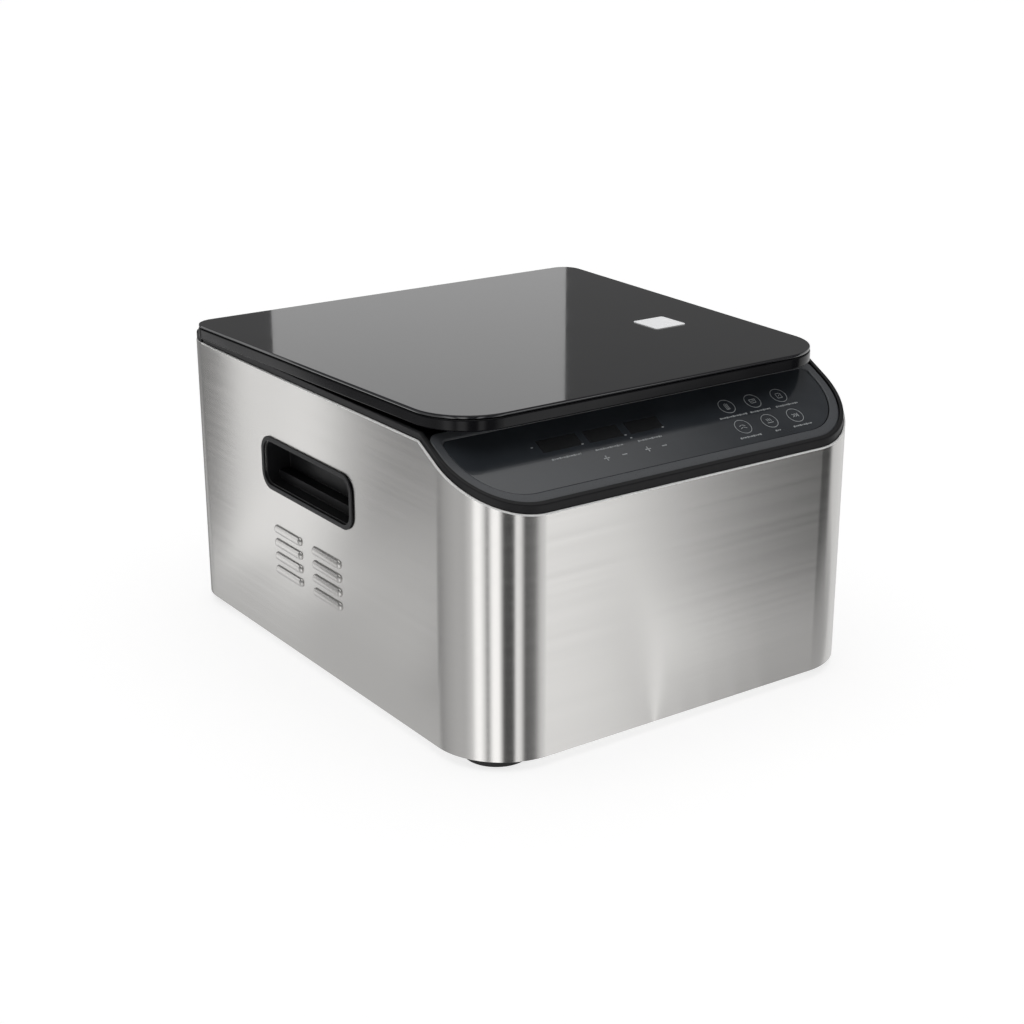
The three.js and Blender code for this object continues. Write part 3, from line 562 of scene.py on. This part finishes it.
# %% Wall
wrap = rounded_sheet("steel_wrap", HALF_WIDTH, -HALF_DEPTH, HALF_DEPTH, FRONT_RADIUS, REAR_RADIUS,
                     STEEL_BOTTOM, steps=28)
bpy.ops.object.mode_set(mode="EDIT")
bpy.ops.mesh.select_all(action="SELECT")
bpy.ops.mesh.delete(type="ONLY_FACE")
bpy.ops.mesh.select_all(action="SELECT")
bpy.ops.mesh.extrude_region_move(TRANSFORM_OT_translate={"value": (0, 0, STEEL_TOP - STEEL_BOTTOM)})
bpy.ops.mesh.select_all(action="SELECT")
bpy.ops.mesh.normals_make_consistent(inside=False)
bpy.ops.object.mode_set(mode="OBJECT")
slice_off(wrap, slope_point(0), SLOPE_NORMAL, fill=False)
print("wall", len(wrap.data.polygons), "faces")

# %% Rear opening and corner notches
NOTCH_Y, NOTCH_Z, LIP_X = 0.186, 0.210, 0.118
for point, normal in [((0, NOTCH_Y, 0), (0, 1, 0)), ((0, 0, NOTCH_Z), (0, 0, 1)),
                      ((LIP_X, 0, 0), (1, 0, 0)), ((-LIP_X, 0, 0), (1, 0, 0))]:
    slice_off(wrap, point, normal, fill=False, above=False)
bpy.ops.object.mode_set(mode="EDIT")
pick(wrap, "FACE", lambda at, item: at.y > NOTCH_Y and at.z > NOTCH_Z)
bpy.ops.mesh.delete(type="FACE")
pick(wrap, "FACE", lambda at, item: abs(at.x) < LIP_X and at.y > 0.19)
bpy.ops.mesh.delete(type="FACE")
bpy.ops.object.mode_set(mode="OBJECT")
apply_modifier(wrap, "SOLIDIFY", thickness=SHEET, offset=-1.0)
print("wrap", len(wrap.data.polygons), "faces")

# %% [markdown]
# The grip hole and the louvre slots go through the sheet. A louvre is pressed, so its hood is
# the same steel pushed outwards: half of a long capsule, open along its lower edge, so that
# nothing spilt runs in.


# %% Rounded cutter on a side wall
def side_sheet(name, x, front, rear, bottom, top, radius, steps=10):
    """A flat sheet that stands in a side wall, with rounded corners."""
    bpy.ops.object.select_all(action="DESELECT")
    bpy.ops.mesh.primitive_plane_add(size=1.0, location=(x, (front + rear) / 2, (bottom + top) / 2),
                                     rotation=(0, math.pi / 2, 0))
    sheet = bpy.context.object
    sheet.name = name
    sheet.scale = (top - bottom, rear - front, 1)
    bpy.ops.object.transform_apply(location=True, rotation=True, scale=True)
    bpy.ops.object.mode_set(mode="EDIT")
    bpy.ops.mesh.select_all(action="SELECT")
    bpy.ops.mesh.bevel(offset=radius, segments=steps, profile=0.5, affect="VERTICES")
    bpy.ops.object.mode_set(mode="OBJECT")
    return sheet


def draw_sideways(thing, distance):
    """Draws an upright sheet out sideways into a closed block."""
    bpy.context.view_layer.objects.active = thing
    bpy.ops.object.mode_set(mode="EDIT")
    bpy.ops.mesh.select_all(action="SELECT")
    bpy.ops.mesh.extrude_region_move(TRANSFORM_OT_translate={"value": (distance, 0, 0)})
    bpy.ops.mesh.select_all(action="SELECT")
    bpy.ops.mesh.normals_make_consistent(inside=False)
    bpy.ops.object.mode_set(mode="OBJECT")


# %% Grip holes and louvre slots
GRIP_FRONT, GRIP_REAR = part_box("grip_cup_left")[0].y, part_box("grip_cup_left")[1].y
GRIP_BOTTOM, GRIP_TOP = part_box("grip_cup_left")[0].z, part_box("grip_cup_left")[1].z
LOUVRE_Y = (0.0425, -0.0135)
LOUVRE_Z = [0.0975 - 0.0106 * row for row in range(4)]
SLOT_HALF = 0.0165
for side in (-1, 1):
    hole = side_sheet("grip_hole", side * (HALF_WIDTH - 0.005), GRIP_FRONT + 0.0037, GRIP_REAR - 0.0037,
                      GRIP_BOTTOM + 0.0037, GRIP_TOP - 0.0037, 0.0093)
    draw_sideways(hole, side * 0.01)
    cut_with(wrap, hole)
    slots = [block("slot", (side * HALF_WIDTH - 0.004, y - SLOT_HALF, z - 0.0030),
                   (side * HALF_WIDTH + 0.004, y + SLOT_HALF, z + 0.0016))
             for y in LOUVRE_Y for z in LOUVRE_Z]
    cut_with(wrap, join_all(slots))

# %% [markdown]
# The wrap's top edge is rolled over slightly, and a thin light line runs between the steel and
# the black rim. The outer line of the edge is picked by its place and bevelled, and the faces that
# then look up get a near-white matte finish of their own: a painted highlight for light caught on the
# edge.


# %% Rolled top edge
ROLL = 0.0010
EDGE_REACH = 0.0004
NOTCH_START = 0.16


def outer_top_edge(at):
    """True on the outer line of the wrap's top edge, ahead of the rear notches."""
    height = STEEL_TOP + min(0, at.y - SLOPE_END) * SLOPE
    arc_x, arc_y = HALF_WIDTH - FRONT_RADIUS, FRONT_RADIUS - HALF_DEPTH
    if abs(at.x) > arc_x and at.y < arc_y:
        outside = math.hypot(abs(at.x) - arc_x, at.y - arc_y) > FRONT_RADIUS - EDGE_REACH
    else:
        outside = abs(at.x) > HALF_WIDTH - EDGE_REACH or at.y < EDGE_REACH - HALF_DEPTH
    return abs(at.z - height) < EDGE_REACH / 2 and outside and at.y < NOTCH_START


bpy.ops.object.mode_set(mode="EDIT")
rolled = pick(wrap, "EDGE", lambda at, item: outer_top_edge(at))
bpy.ops.mesh.bevel(offset=ROLL, segments=3, profile=0.5, affect="EDGES")
bpy.ops.object.mode_set(mode="OBJECT")
print(rolled, "edges rolled")
soften(wrap, 0.00035, segments=2, angle=40)
settle(wrap, "steel", "cabinet", "casing_wrap")

# %% Painted highlight on the top edge
painted_highlight_finish = add_grain(plain_finish("top_edge_painted_highlight", (0.93, 0.93, 0.92), 0.5, 0.1),
                           300, (1, 1, 1), 0.02, 0.04, 0.08)
wrap.data.materials.append(painted_highlight_finish)
# Faces of the top edge that look up take the painted highlight, a near-white matte finish.
highlight_faces = [face for face in wrap.data.polygons if face.normal.z > 0.2 and face.center.z > 0.17]
for face in highlight_faces:
    face.material_index = 1
print(len(highlight_faces), "faces on the bright top edge")

# %% One louvre hood
HOOD_RADIUS, HOOD_STRETCH, HOOD_DEPTH = 0.0036, 0.0164, 0.62
bpy.ops.object.select_all(action="DESELECT")
bpy.ops.mesh.primitive_uv_sphere_add(segments=20, ring_count=11, radius=HOOD_RADIUS,
                                     rotation=(math.pi / 2, 0, 0), location=(0, 0, 0))
hood = bpy.context.object
hood.name = "louvre_hood"
bpy.ops.object.transform_apply(location=True, rotation=True, scale=True)
bpy.ops.object.mode_set(mode="EDIT")
for way in (-1, 1):
    pick(hood, "VERT", lambda at, item: at.y * way > 0)
    bpy.ops.transform.translate(value=(0, way * HOOD_STRETCH, 0))
bpy.ops.mesh.select_all(action="SELECT")
bpy.ops.transform.resize(value=(HOOD_DEPTH, 1, 1))
bpy.ops.object.mode_set(mode="OBJECT")
slice_off(hood, (0, 0, 0), (1, 0, 0), fill=False)
slice_off(hood, (0, 0, -0.0026), (0, 0, 1), fill=False, above=False, below=True)
apply_modifier(hood, "SOLIDIFY", thickness=0.0007, offset=-1.0)
soften(hood, 0.00012, segments=1, angle=40)
print("hood", len(hood.data.polygons), "faces")


# %% Louvre hoods in place
def copy_piece(thing, name, shift, mirror_x=False):
    """A copy with its own mesh, moved, and mirrored left to right if asked."""
    made = thing.copy()
    made.data = thing.data.copy()
    made.name = name
    scene.collection.objects.link(made)
    move = Matrix.Translation(shift)
    if mirror_x:
        move = move @ Matrix.Diagonal((-1, 1, 1, 1))
    made.data.transform(move)
    if mirror_x:
        made.data.flip_normals()
    return made


for side, hand in ((-1, "left"), (1, "right")):
    hoods = []
    for column, y in enumerate(LOUVRE_Y):
        for row, z in enumerate(LOUVRE_Z):
            shift = (side * (HALF_WIDTH - 0.00005), y, z)
            hoods.append(copy_piece(hood, f"louvre_{hand}_{column}_{row}", shift, side > 0))
    louvres = join_all(hoods)
    louvres.name = f"louvre_hoods_{hand}"
    settle(louvres, "steel", "cabinet")
bpy.data.objects.remove(hood, do_unlink=True)

# %% [markdown]
# ## Grip cups
# Each grip is a black moulded cup with a thin rim round the hole. Its back wall is stepped: the
# lower part stands forward as a ledge. The rim face is inset, pushed in, sliced level with
# the ledge, and the upper part is pushed further in.

# %% Grip cup
CUP_LIP, CUP_STEP = 0.0036, 0.0008
LIP_DEPTH, LEDGE_DEPTH, BACK_DEPTH = 0.0022, 0.0098, 0.0095
LEDGE_TOP = GRIP_BOTTOM + 0.013
for side, hand in ((-1, "left"), (1, "right")):
    face_x = side * (HALF_WIDTH + 0.0015)
    cup = side_sheet(f"grip_cup_shell_{hand}", face_x, GRIP_FRONT + 0.0016, GRIP_REAR,
                     GRIP_BOTTOM + 0.0018, GRIP_TOP, 0.0125)
    bpy.ops.object.mode_set(mode="EDIT")
    bpy.ops.mesh.select_all(action="SELECT")
    bpy.ops.mesh.inset(thickness=CUP_LIP)
    pick(cup, "FACE", lambda at, item: len(item.verts) > 8)
    bpy.ops.mesh.extrude_region_move(TRANSFORM_OT_translate={"value": (-side * LIP_DEPTH, 0, 0)})
    bpy.ops.mesh.inset(thickness=CUP_STEP)
    bpy.ops.mesh.extrude_region_move(TRANSFORM_OT_translate={"value": (-side * LEDGE_DEPTH, 0, 0)})
    bpy.ops.mesh.select_all(action="SELECT")
    bpy.ops.mesh.bisect(plane_co=(0, 0, LEDGE_TOP), plane_no=(0, 0, 1))
    deep = face_x - side * (LIP_DEPTH + LEDGE_DEPTH)
    pick(cup, "FACE", lambda at, item: abs(at.x - deep) < 0.0001 and at.z > LEDGE_TOP
         and abs(item.normal.x) > 0.9)
    bpy.ops.mesh.extrude_region_move(TRANSFORM_OT_translate={"value": (-side * BACK_DEPTH, 0, 0)})
    bpy.ops.mesh.select_all(action="SELECT")
    bpy.ops.mesh.normals_make_consistent(inside=False)
    bpy.ops.object.mode_set(mode="OBJECT")
    mesh = bmesh.new()
    mesh.from_mesh(cup.data)
    rim_face = max(mesh.faces, key=lambda f: f.calc_center_median().x * side)
    if rim_face.normal.x * side < 0:
        bmesh.ops.reverse_faces(mesh, faces=mesh.faces[:])
    mesh.to_mesh(cup.data)
    mesh.free()
    apply_modifier(cup, "SOLIDIFY", thickness=SHEET, offset=-1.0)
    soften(cup, 0.0006, segments=3, angle=40)
    settle(cup, "black_plastic", "cabinet", f"grip_cup_{hand}")

# %% [markdown]
# ## Top frame
# The black frame is the rim inside the steel edge, the deck under the lid and the seat of the
# touch panel, moulded as one. It is easiest to think of it as a stack of blocks that all
# follow the casing's top line: the full block, the space under it, the hollow inside its skirt
# and the recess inside its rim. The last three are cut from the first.


# %% Blocks that follow the casing's top line
def casing_block(name, inset, bottom, lift):
    """A block with the casing's outline, inset, whose top follows the steel edge at some lift."""
    made = rounded_sheet(name, HALF_WIDTH - inset, -HALF_DEPTH + inset, HALF_DEPTH - inset,
                         FRONT_RADIUS - inset, REAR_RADIUS - inset, bottom, steps=28)
    draw_up(made, STEEL_TOP + lift - bottom)
    slice_off(made, slope_point(lift), SLOPE_NORMAL)
    return made


RIM_INSET, RIM_LIFT, DECK_LIFT = 0.0015, 0.005, 0.001
top_frame = casing_block("deck_and_rim", RIM_INSET, 0.150, RIM_LIFT)
cut_with(top_frame, casing_block("space_below", -0.003, 0.120, -0.012))
cut_with(top_frame, casing_block("skirt_hollow", 0.0036, 0.110, -0.003))
recess = casing_block("recess", 0.0046, 0.130, 0.020)
cut_with(recess, casing_block("recess_floor", 0.0, 0.110, DECK_LIFT))
cut_with(top_frame, recess)
slice_off(top_frame, (0, 0.172, 0), (0, 1, 0))
print("rim and deck", len(top_frame.data.polygons), "faces")

# %% Chamber mouth and hinge notches
mouth = rounded_sheet("mouth", 0.1432, -0.1122, 0.1322, 0.0252, 0.0252, 0.19, steps=14)
draw_up(mouth, 0.05)
cut_with(top_frame, mouth)
ARM_X, NOTCH_HALF = 0.120, 0.0065
for side in (-1, 1):
    cut_with(top_frame, block("arm_notch", (side * ARM_X - NOTCH_HALF, 0.149, 0.19),
                              (side * ARM_X + NOTCH_HALF, 0.18, 0.24)))
soften(top_frame, 0.0008, segments=3, angle=40)
settle(top_frame, "black_plastic", "cabinet", "top_frame")

# %% [markdown]
# ## Touch panel
# A satin surround holds a glossy overlay. Both follow the slope, so each outline is drawn up as
# a block and sliced twice along the slope, which keeps the corners true when seen from above.


# %% Sloping plates
def sloping_plate(name, inset, rear, rear_radius, low, high):
    """A plate between two heights above the slope, its outline inset from the casing's."""
    plate = rounded_sheet(name, HALF_WIDTH - inset, -HALF_DEPTH + inset, rear, FRONT_RADIUS - inset,
                          rear_radius, 0.150, steps=24)
    draw_up(plate, 0.10)
    slice_off(plate, slope_point(high), SLOPE_NORMAL)
    slice_off(plate, slope_point(low), SLOPE_NORMAL, above=False, below=True)
    return plate


surround = sloping_plate("panel_surround", 0.0050, -0.1394, 0.008, 0.0013, 0.0038)
hollow = sloping_plate("hollow", 0.0120, -0.1455, 0.005, -0.002, 0.010)
cut_with(surround, hollow)
soften(surround, 0.0012, segments=3, angle=35)
settle(surround, "grey_plastic", "cabinet", "panel_bezel")

overlay = sloping_plate("touch_overlay", 0.0125, -0.1459, 0.0047, 0.0013, 0.0030)
soften(overlay, 0.0003, segments=2, angle=35)
settle(overlay, "overlay_gloss", "cabinet", "control_overlay")

# %% [markdown]
# ## Lid
# The lid is a black-backed glass plate on a glossy moulded frame, and it widens a little towards
# the rear. The glass shows a thin bright line where its edge is ground, so it gets a wide
# clean bevel. Below the plate a smaller slab fills the frame's window.

# %% Lid glass
LID_HALF_FRONT, LID_SPREAD = 0.1642, 0.0146
LID_FRONT_RADIUS, LID_REAR_RADIUS = 0.041, 0.0165
PLATE_BOTTOM = lid_frame_high.z + 0.0003
plate = rounded_sheet("glass_plate", LID_HALF_FRONT - 0.0002, lid_low.y, lid_high.y, LID_FRONT_RADIUS,
                      LID_REAR_RADIUS, PLATE_BOTTOM, steps=28, spread=LID_SPREAD)
draw_up(plate, lid_high.z - PLATE_BOTTOM)
soften(plate, 0.0009, segments=2, angle=40)
inner = rounded_sheet("glass_inner", 0.1595, -0.1347, 0.1497, 0.0217, 0.0217, lid_low.z, steps=16)
draw_up(inner, PLATE_BOTTOM + 0.0005 - lid_low.z)
soften(inner, 0.0005, segments=2, angle=40)
glass = join_all([plate, inner])
glass.name = "lid_glass_plate"
settle(glass, "lid_glass", "lid", "lid_glass")

# %% Lid frame
moulding = rounded_sheet("lid_moulding", LID_HALF_FRONT, lid_frame_low.y, lid_frame_high.y,
                         LID_FRONT_RADIUS, LID_REAR_RADIUS, lid_frame_low.z, steps=28,
                         spread=LID_SPREAD)
draw_up(moulding, lid_frame_high.z - lid_frame_low.z)
opening = rounded_sheet("opening", 0.1598, -0.1350, 0.1500, 0.022, 0.022, 0.20, steps=16)
draw_up(opening, 0.06)
cut_with(moulding, opening)
soften(moulding, 0.0011, segments=3, angle=40)
settle(moulding, "gloss_black", "lid", "lid_frame")

# %% [markdown]
# ## Panel printing
# The touch panel carries white line symbols under the gloss: six ringed buttons, plus and minus
# marks and rows of short dashes where captions would be. All are drawn flat as thin plates
# and then laid on the slope in one move. Thin plates stay sharp however close the view is.

# %% The panel's own plane
PANEL_TURN = math.atan(SLOPE)
OVERLAY_LIFT = 0.0030
PANEL_PLACE = (Matrix.Translation((0, SLOPE_END, STEEL_TOP + OVERLAY_LIFT))
               @ Matrix.Rotation(PANEL_TURN, 4, "X"))
PRINT_HEIGHT = 0.00006
RING_SIDES = 40


def along_slope(y):
    """Distance up the panel from the crease, for a place seen from above."""
    return (y - SLOPE_END) / math.cos(PANEL_TURN)


def flat_bar(x, v, width, height, turn=0.0):
    """A thin printed bar round a place on the panel."""
    bpy.ops.object.select_all(action="DESELECT")
    bpy.ops.mesh.primitive_plane_add(size=1.0, location=(x, v, 0), rotation=(0, 0, turn))
    bar = bpy.context.object
    bar.scale = (width, height, 1)
    bpy.ops.object.transform_apply(location=True, rotation=True, scale=True)
    draw_up(bar, PRINT_HEIGHT)
    return bar


def flat_ring(x, v, outer, line):
    """A thin printed ring."""
    bpy.ops.object.select_all(action="DESELECT")
    bpy.ops.mesh.primitive_circle_add(vertices=RING_SIDES, radius=outer, fill_type="NGON",
                                      location=(x, v, 0))
    ring = bpy.context.object
    bpy.ops.object.transform_apply(location=True, rotation=True, scale=True)
    bpy.ops.object.mode_set(mode="EDIT")
    bpy.ops.mesh.select_all(action="SELECT")
    bpy.ops.mesh.inset(thickness=line)
    pick(ring, "FACE", lambda at, item: len(item.verts) == RING_SIDES)
    bpy.ops.mesh.delete(type="FACE")
    bpy.ops.object.mode_set(mode="OBJECT")
    draw_up(ring, PRINT_HEIGHT)
    return ring


# %% Symbols inside the rings, each from a few bars: x, v, width, height, turn in degrees
UNIT = 0.001
SYMBOLS = [
    [(-1.3, 0, 0.5, 5.0, 0), (0.0, 0, 0.5, 6.4, 0), (1.3, 0, 0.5, 5.0, 0), (0, -2.7, 3.2, 0.5, 0)],
    [(0, 1.6, 5.2, 0.5, 0), (0, -1.8, 4.2, 0.5, 0), (-2.4, -0.1, 0.5, 3.4, 8), (2.4, -0.1, 0.5, 3.4, -8),
     (0, 0, 2.6, 0.5, 0)],
    [(0, 2.1, 3.4, 0.5, 0), (-2.1, -0.4, 0.5, 4.4, 0), (2.1, -0.4, 0.5, 4.4, 0), (0, -2.4, 4.6, 0.5, 0),
     (0, -0.2, 1.6, 0.5, 45)],
    [(-1.7, 1.2, 2.4, 0.5, 25), (1.2, 1.2, 2.8, 0.5, -25), (-1.7, -1.0, 2.4, 0.5, 25),
     (1.2, -1.0, 2.8, 0.5, -25)],
    [(-1.6, 1.0, 0.5, 2.4, 12), (0, 1.2, 0.5, 2.4, 12), (1.6, 1.0, 0.5, 2.4, 12), (0, -1.6, 5.4, 0.5, 0)],
    [(-1.4, 0.8, 2.4, 0.6, -30), (-1.4, -0.8, 2.4, 0.6, 30), (0.9, 0.8, 2.4, 0.6, -30),
     (0.9, -0.8, 2.4, 0.6, 30), (2.6, 0, 0.6, 3.4, 0)],
]
BUTTONS = [(67.8, -164.0), (91.8, -164.0), (116.5, -164.0),
           (67.3, -182.3), (91.8, -182.3), (115.9, -182.3)]
BUTTON_RADIUS, BUTTON_LINE = 0.00665, 0.00045
prints = []
for (x, y), bars in zip(BUTTONS, SYMBOLS):
    x, v = x * UNIT, along_slope(y * UNIT)
    prints.append(flat_ring(x, v, BUTTON_RADIUS, BUTTON_LINE))
    for dx, dv, width, height, turn in bars:
        prints.append(flat_bar(x + dx * UNIT, v + dv * UNIT, width * UNIT, height * UNIT,
                               math.radians(turn)))
print(len(prints), "marks in the buttons")

# %% Dashes in place of captions: left end, right end, y
CAPTIONS = [(54.5, 79.5, -172.7), (82.5, 101.0, -172.7), (106.5, 127.0, -172.7), (57.7, 77.2, -191.0),
            (90.0, 94.6, -191.0), (107.0, 125.0, -191.0), (-91.4, -67.7, -175.7), (-55.8, -33.1, -175.7),
            (-20.3, 1.0, -175.7)]
DASHES = (1.5, 1.0, 1.9, 1.3, 0.9, 1.7)
DASH_GAP = 0.55
for left, right, y in CAPTIONS:
    at, step = left, 0
    while at < right - 0.5:
        width = min(DASHES[step % len(DASHES)], right - at)
        tall = 1.0 if step % 3 else 1.5
        prints.append(flat_bar((at + width / 2) * UNIT, along_slope(y * UNIT), width * UNIT, tall * UNIT))
        at += width + DASH_GAP
        step += 1
print(len(prints), "marks with the dashes")

# %% Plus, minus and dot marks, all joined to one print
SIGN_Y = -0.1831
for x in (-52.2, -17.5):
    prints.append(flat_bar(x * UNIT, along_slope(SIGN_Y), 0.0046, 0.0009))
    prints.append(flat_bar(x * UNIT, along_slope(SIGN_Y), 0.0009, 0.0046))
for x in (-37.3, -3.5):
    prints.append(flat_bar(x * UNIT, along_slope(SIGN_Y), 0.0040, 0.0009))
for x, y in ((-99.0, -163.8), (-61.6, -168.9), (-25.8, -169.1), (-23.4, -172.1), (6.1, -169.2)):
    prints.append(flat_bar(x * UNIT, along_slope(y * UNIT), 0.0017, 0.0008))
panel_print = join_all(prints)
panel_print.name = "panel_print"
panel_print.data.transform(PANEL_PLACE)
white_ink = add_grain(plain_finish("white_panel_ink", (0.42, 0.44, 0.45), 0.35),
                      500, (1, 1, 1), 0.05, 0.06, 0.05)
panel_print.data.materials.append(white_ink)
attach(panel_print, "cabinet")
print(panel_print.name, len(panel_print.data.polygons), "faces")

# %% Display windows behind the overlay
WINDOW_Y, WINDOW_HEIGHT = -0.1645, 0.0112
windows = []
for left, right in ((-93.5, -61.5), (-55.5, -27.5), (-21.0, 7.0)):
    middle = (left + right) / 2 * UNIT
    windows.append(flat_bar(middle, along_slope(WINDOW_Y), (right - left) * UNIT, WINDOW_HEIGHT))
window_set = join_all(windows)
window_set.name = "display_windows"
window_set.data.transform(PANEL_PLACE @ Matrix.Translation((0, 0, -0.00002)))
settle(window_set, "display_dark", "cabinet")

# %% [markdown]
# ## Vacuum chamber
# The chamber is a drawn steel tub, so it has generous corner and floor radii. One rounded sheet
# is the flange. Its middle is inset and pushed down to the floor, the floor edge is
# bevelled, and the sheet gets its thickness last.

# %% Chamber tub
flange_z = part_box("chamber_tub")[1].z
FLOOR_Z = 0.118
FLANGE_WIDTH = 0.013
tub = rounded_sheet("drawn_tub", 0.155, -0.124, 0.144, 0.037, 0.037, flange_z, steps=14)
bpy.ops.object.mode_set(mode="EDIT")
bpy.ops.mesh.select_all(action="SELECT")
bpy.ops.mesh.inset(thickness=FLANGE_WIDTH)
pick(tub, "FACE", lambda at, item: len(item.verts) > 8)
bpy.ops.mesh.extrude_region_move(TRANSFORM_OT_translate={"value": (0, 0, FLOOR_Z - flange_z)})
pick(tub, "EDGE", lambda at, item: at.z < FLOOR_Z + 0.0001)
bpy.ops.mesh.bevel(offset=0.009, segments=5, profile=0.5, affect="EDGES")
pick(tub, "EDGE", lambda at, item: abs(at.z - flange_z) < 0.0001 and abs(at.x) < 0.1425
     and -0.1115 < at.y < 0.1315 and len(item.link_faces) == 2)
bpy.ops.mesh.bevel(offset=0.0018, segments=3, profile=0.5, affect="EDGES")
bpy.ops.object.mode_set(mode="OBJECT")
apply_modifier(tub, "SOLIDIFY", thickness=SHEET, offset=-1.0)
print("tub", len(tub.data.polygons), "faces")

# %% Hole for the vacuum port
PORT_RADIUS, PORT_PLACE = 0.0073, (0.03, 0.131, 0.150)
bpy.ops.object.select_all(action="DESELECT")
bpy.ops.mesh.primitive_cylinder_add(vertices=40, radius=PORT_RADIUS, depth=0.02, location=PORT_PLACE,
                                    rotation=(math.pi / 2, 0, 0))
port_hole = bpy.context.object
cut_with(tub, port_hole)
bpy.ops.object.shade_smooth_by_angle(angle=math.radians(40))
settle(tub, "chamber_steel", "cabinet", "chamber_tub")

# %% [markdown]
# The gasket is a rubber frame round the chamber mouth. Its top is rounded over by a bevel
# almost as wide as half the section, as on an extruded seal.

# %% Gasket
GASKET_WIDTH = 0.007
gasket_low, gasket_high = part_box("chamber_gasket")
gasket = rounded_sheet("rubber_gasket", gasket_high.x, gasket_low.y, gasket_high.y, 0.0355, 0.0355,
                       gasket_low.z, steps=16)
bpy.ops.object.mode_set(mode="EDIT")
bpy.ops.mesh.select_all(action="SELECT")
bpy.ops.mesh.inset(thickness=GASKET_WIDTH)
pick(gasket, "FACE", lambda at, item: len(item.verts) > 8)
bpy.ops.mesh.delete(type="FACE")
bpy.ops.object.mode_set(mode="OBJECT")
draw_up(gasket, gasket_high.z - gasket_low.z)
soften(gasket, 0.0026, segments=5, angle=50)
settle(gasket, "gasket_rubber", "cabinet", "chamber_gasket")

# %% [markdown]
# ## Feet
# Four low rubber feet with a rounded lower edge and a shallow dish underneath.

# %% Feet
FOOT_BORDER, DISH_DEPTH = 0.017, 0.002
for end in ("front", "rear"):
    for hand in ("left", "right"):
        low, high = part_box(f"foot_{end}_{hand}")
        middle = (low + high) / 2
        bpy.ops.object.select_all(action="DESELECT")
        bpy.ops.mesh.primitive_cylinder_add(vertices=56, radius=(high.x - low.x) / 2,
                                            depth=high.z - low.z, location=middle)
        foot = bpy.context.object
        foot.name = f"rubber_foot_{end}_{hand}"
        bpy.ops.object.transform_apply(location=True, rotation=True, scale=True)
        bpy.ops.object.mode_set(mode="EDIT")
        pick(foot, "FACE", lambda at, item: item.normal.z < -0.9)
        bpy.ops.mesh.inset(thickness=FOOT_BORDER)
        bpy.ops.mesh.extrude_region_move(TRANSFORM_OT_translate={"value": (0, 0, DISH_DEPTH)})
        bpy.ops.object.mode_set(mode="OBJECT")
        soften(foot, 0.0014, segments=3, angle=40)
        settle(foot, "foot_rubber", "cabinet", f"foot_{end}_{hand}")

# %% [markdown]
# ## Parts finished from the frame
# Brackets, bars and fittings already have their true shape in the frame, but with knife-sharp
# edges. A copy of each is merged, its flat areas are joined to single faces, and then every
# sharp edge gets a small round, which catches a line of light.


# %% Finish a copy of a frame part
def edge_finished(node, width):
    """A copy of a frame part with every sharp edge rounded by width."""
    source = frame["nodes"][node]
    piece = source.copy()
    piece.data = source.data.copy()
    piece.parent = None
    for key in list(piece.keys()):
        del piece[key]
    piece.name = "finished_" + node
    scene.collection.objects.link(piece)
    bpy.ops.object.select_all(action="DESELECT")
    bpy.context.view_layer.objects.active = piece
    piece.select_set(True)
    bpy.ops.object.mode_set(mode="EDIT")
    bpy.ops.mesh.select_all(action="SELECT")
    bpy.ops.mesh.remove_doubles(threshold=0.000005)
    bpy.ops.mesh.customdata_custom_splitnormals_clear()
    bpy.ops.mesh.dissolve_limited(angle_limit=math.radians(1.5))
    bpy.ops.object.mode_set(mode="OBJECT")
    soften(piece, width, angle=38)
    settle(piece, slot_of[node], body_of[node], node)


EDGE_WIDTHS = {
    "rear_panel": 0.0003, "base_plate": 0.0003, "filler_plate": 0.0012, "hinge_cover": 0.0010,
    "hinge_beam": 0.0006, "hinge_arm_left": 0.0007, "hinge_arm_right": 0.0007,
    "hinge_bracket_left": 0.0005, "hinge_bracket_right": 0.0005, "hinge_pin_left": 0.0004,
    "hinge_pin_right": 0.0004, "backing_holder": 0.0004, "backing_strip": 0.0006,
    "seal_bar": 0.0004, "lift_cylinder_left": 0.0008, "lift_cylinder_right": 0.0008,
    "vacuum_port": 0.0005, "power_inlet": 0.0004, "switch_housing": 0.0005, "switch_rocker": 0.0005,
    "fuse_holder": 0.0004, "fan_frame": 0.0006, "fan_rotor": 0.0003, "lid_label": 0.0001,
    "pump_motor": 0.0008, "pump_head_left": 0.0008, "pump_head_right": 0.0008,
    "valve_block": 0.0005, "transformer_core": 0.0004, "transformer_coil": 0.0012,
}
for node, width in EDGE_WIDTHS.items():
    edge_finished(node, width)
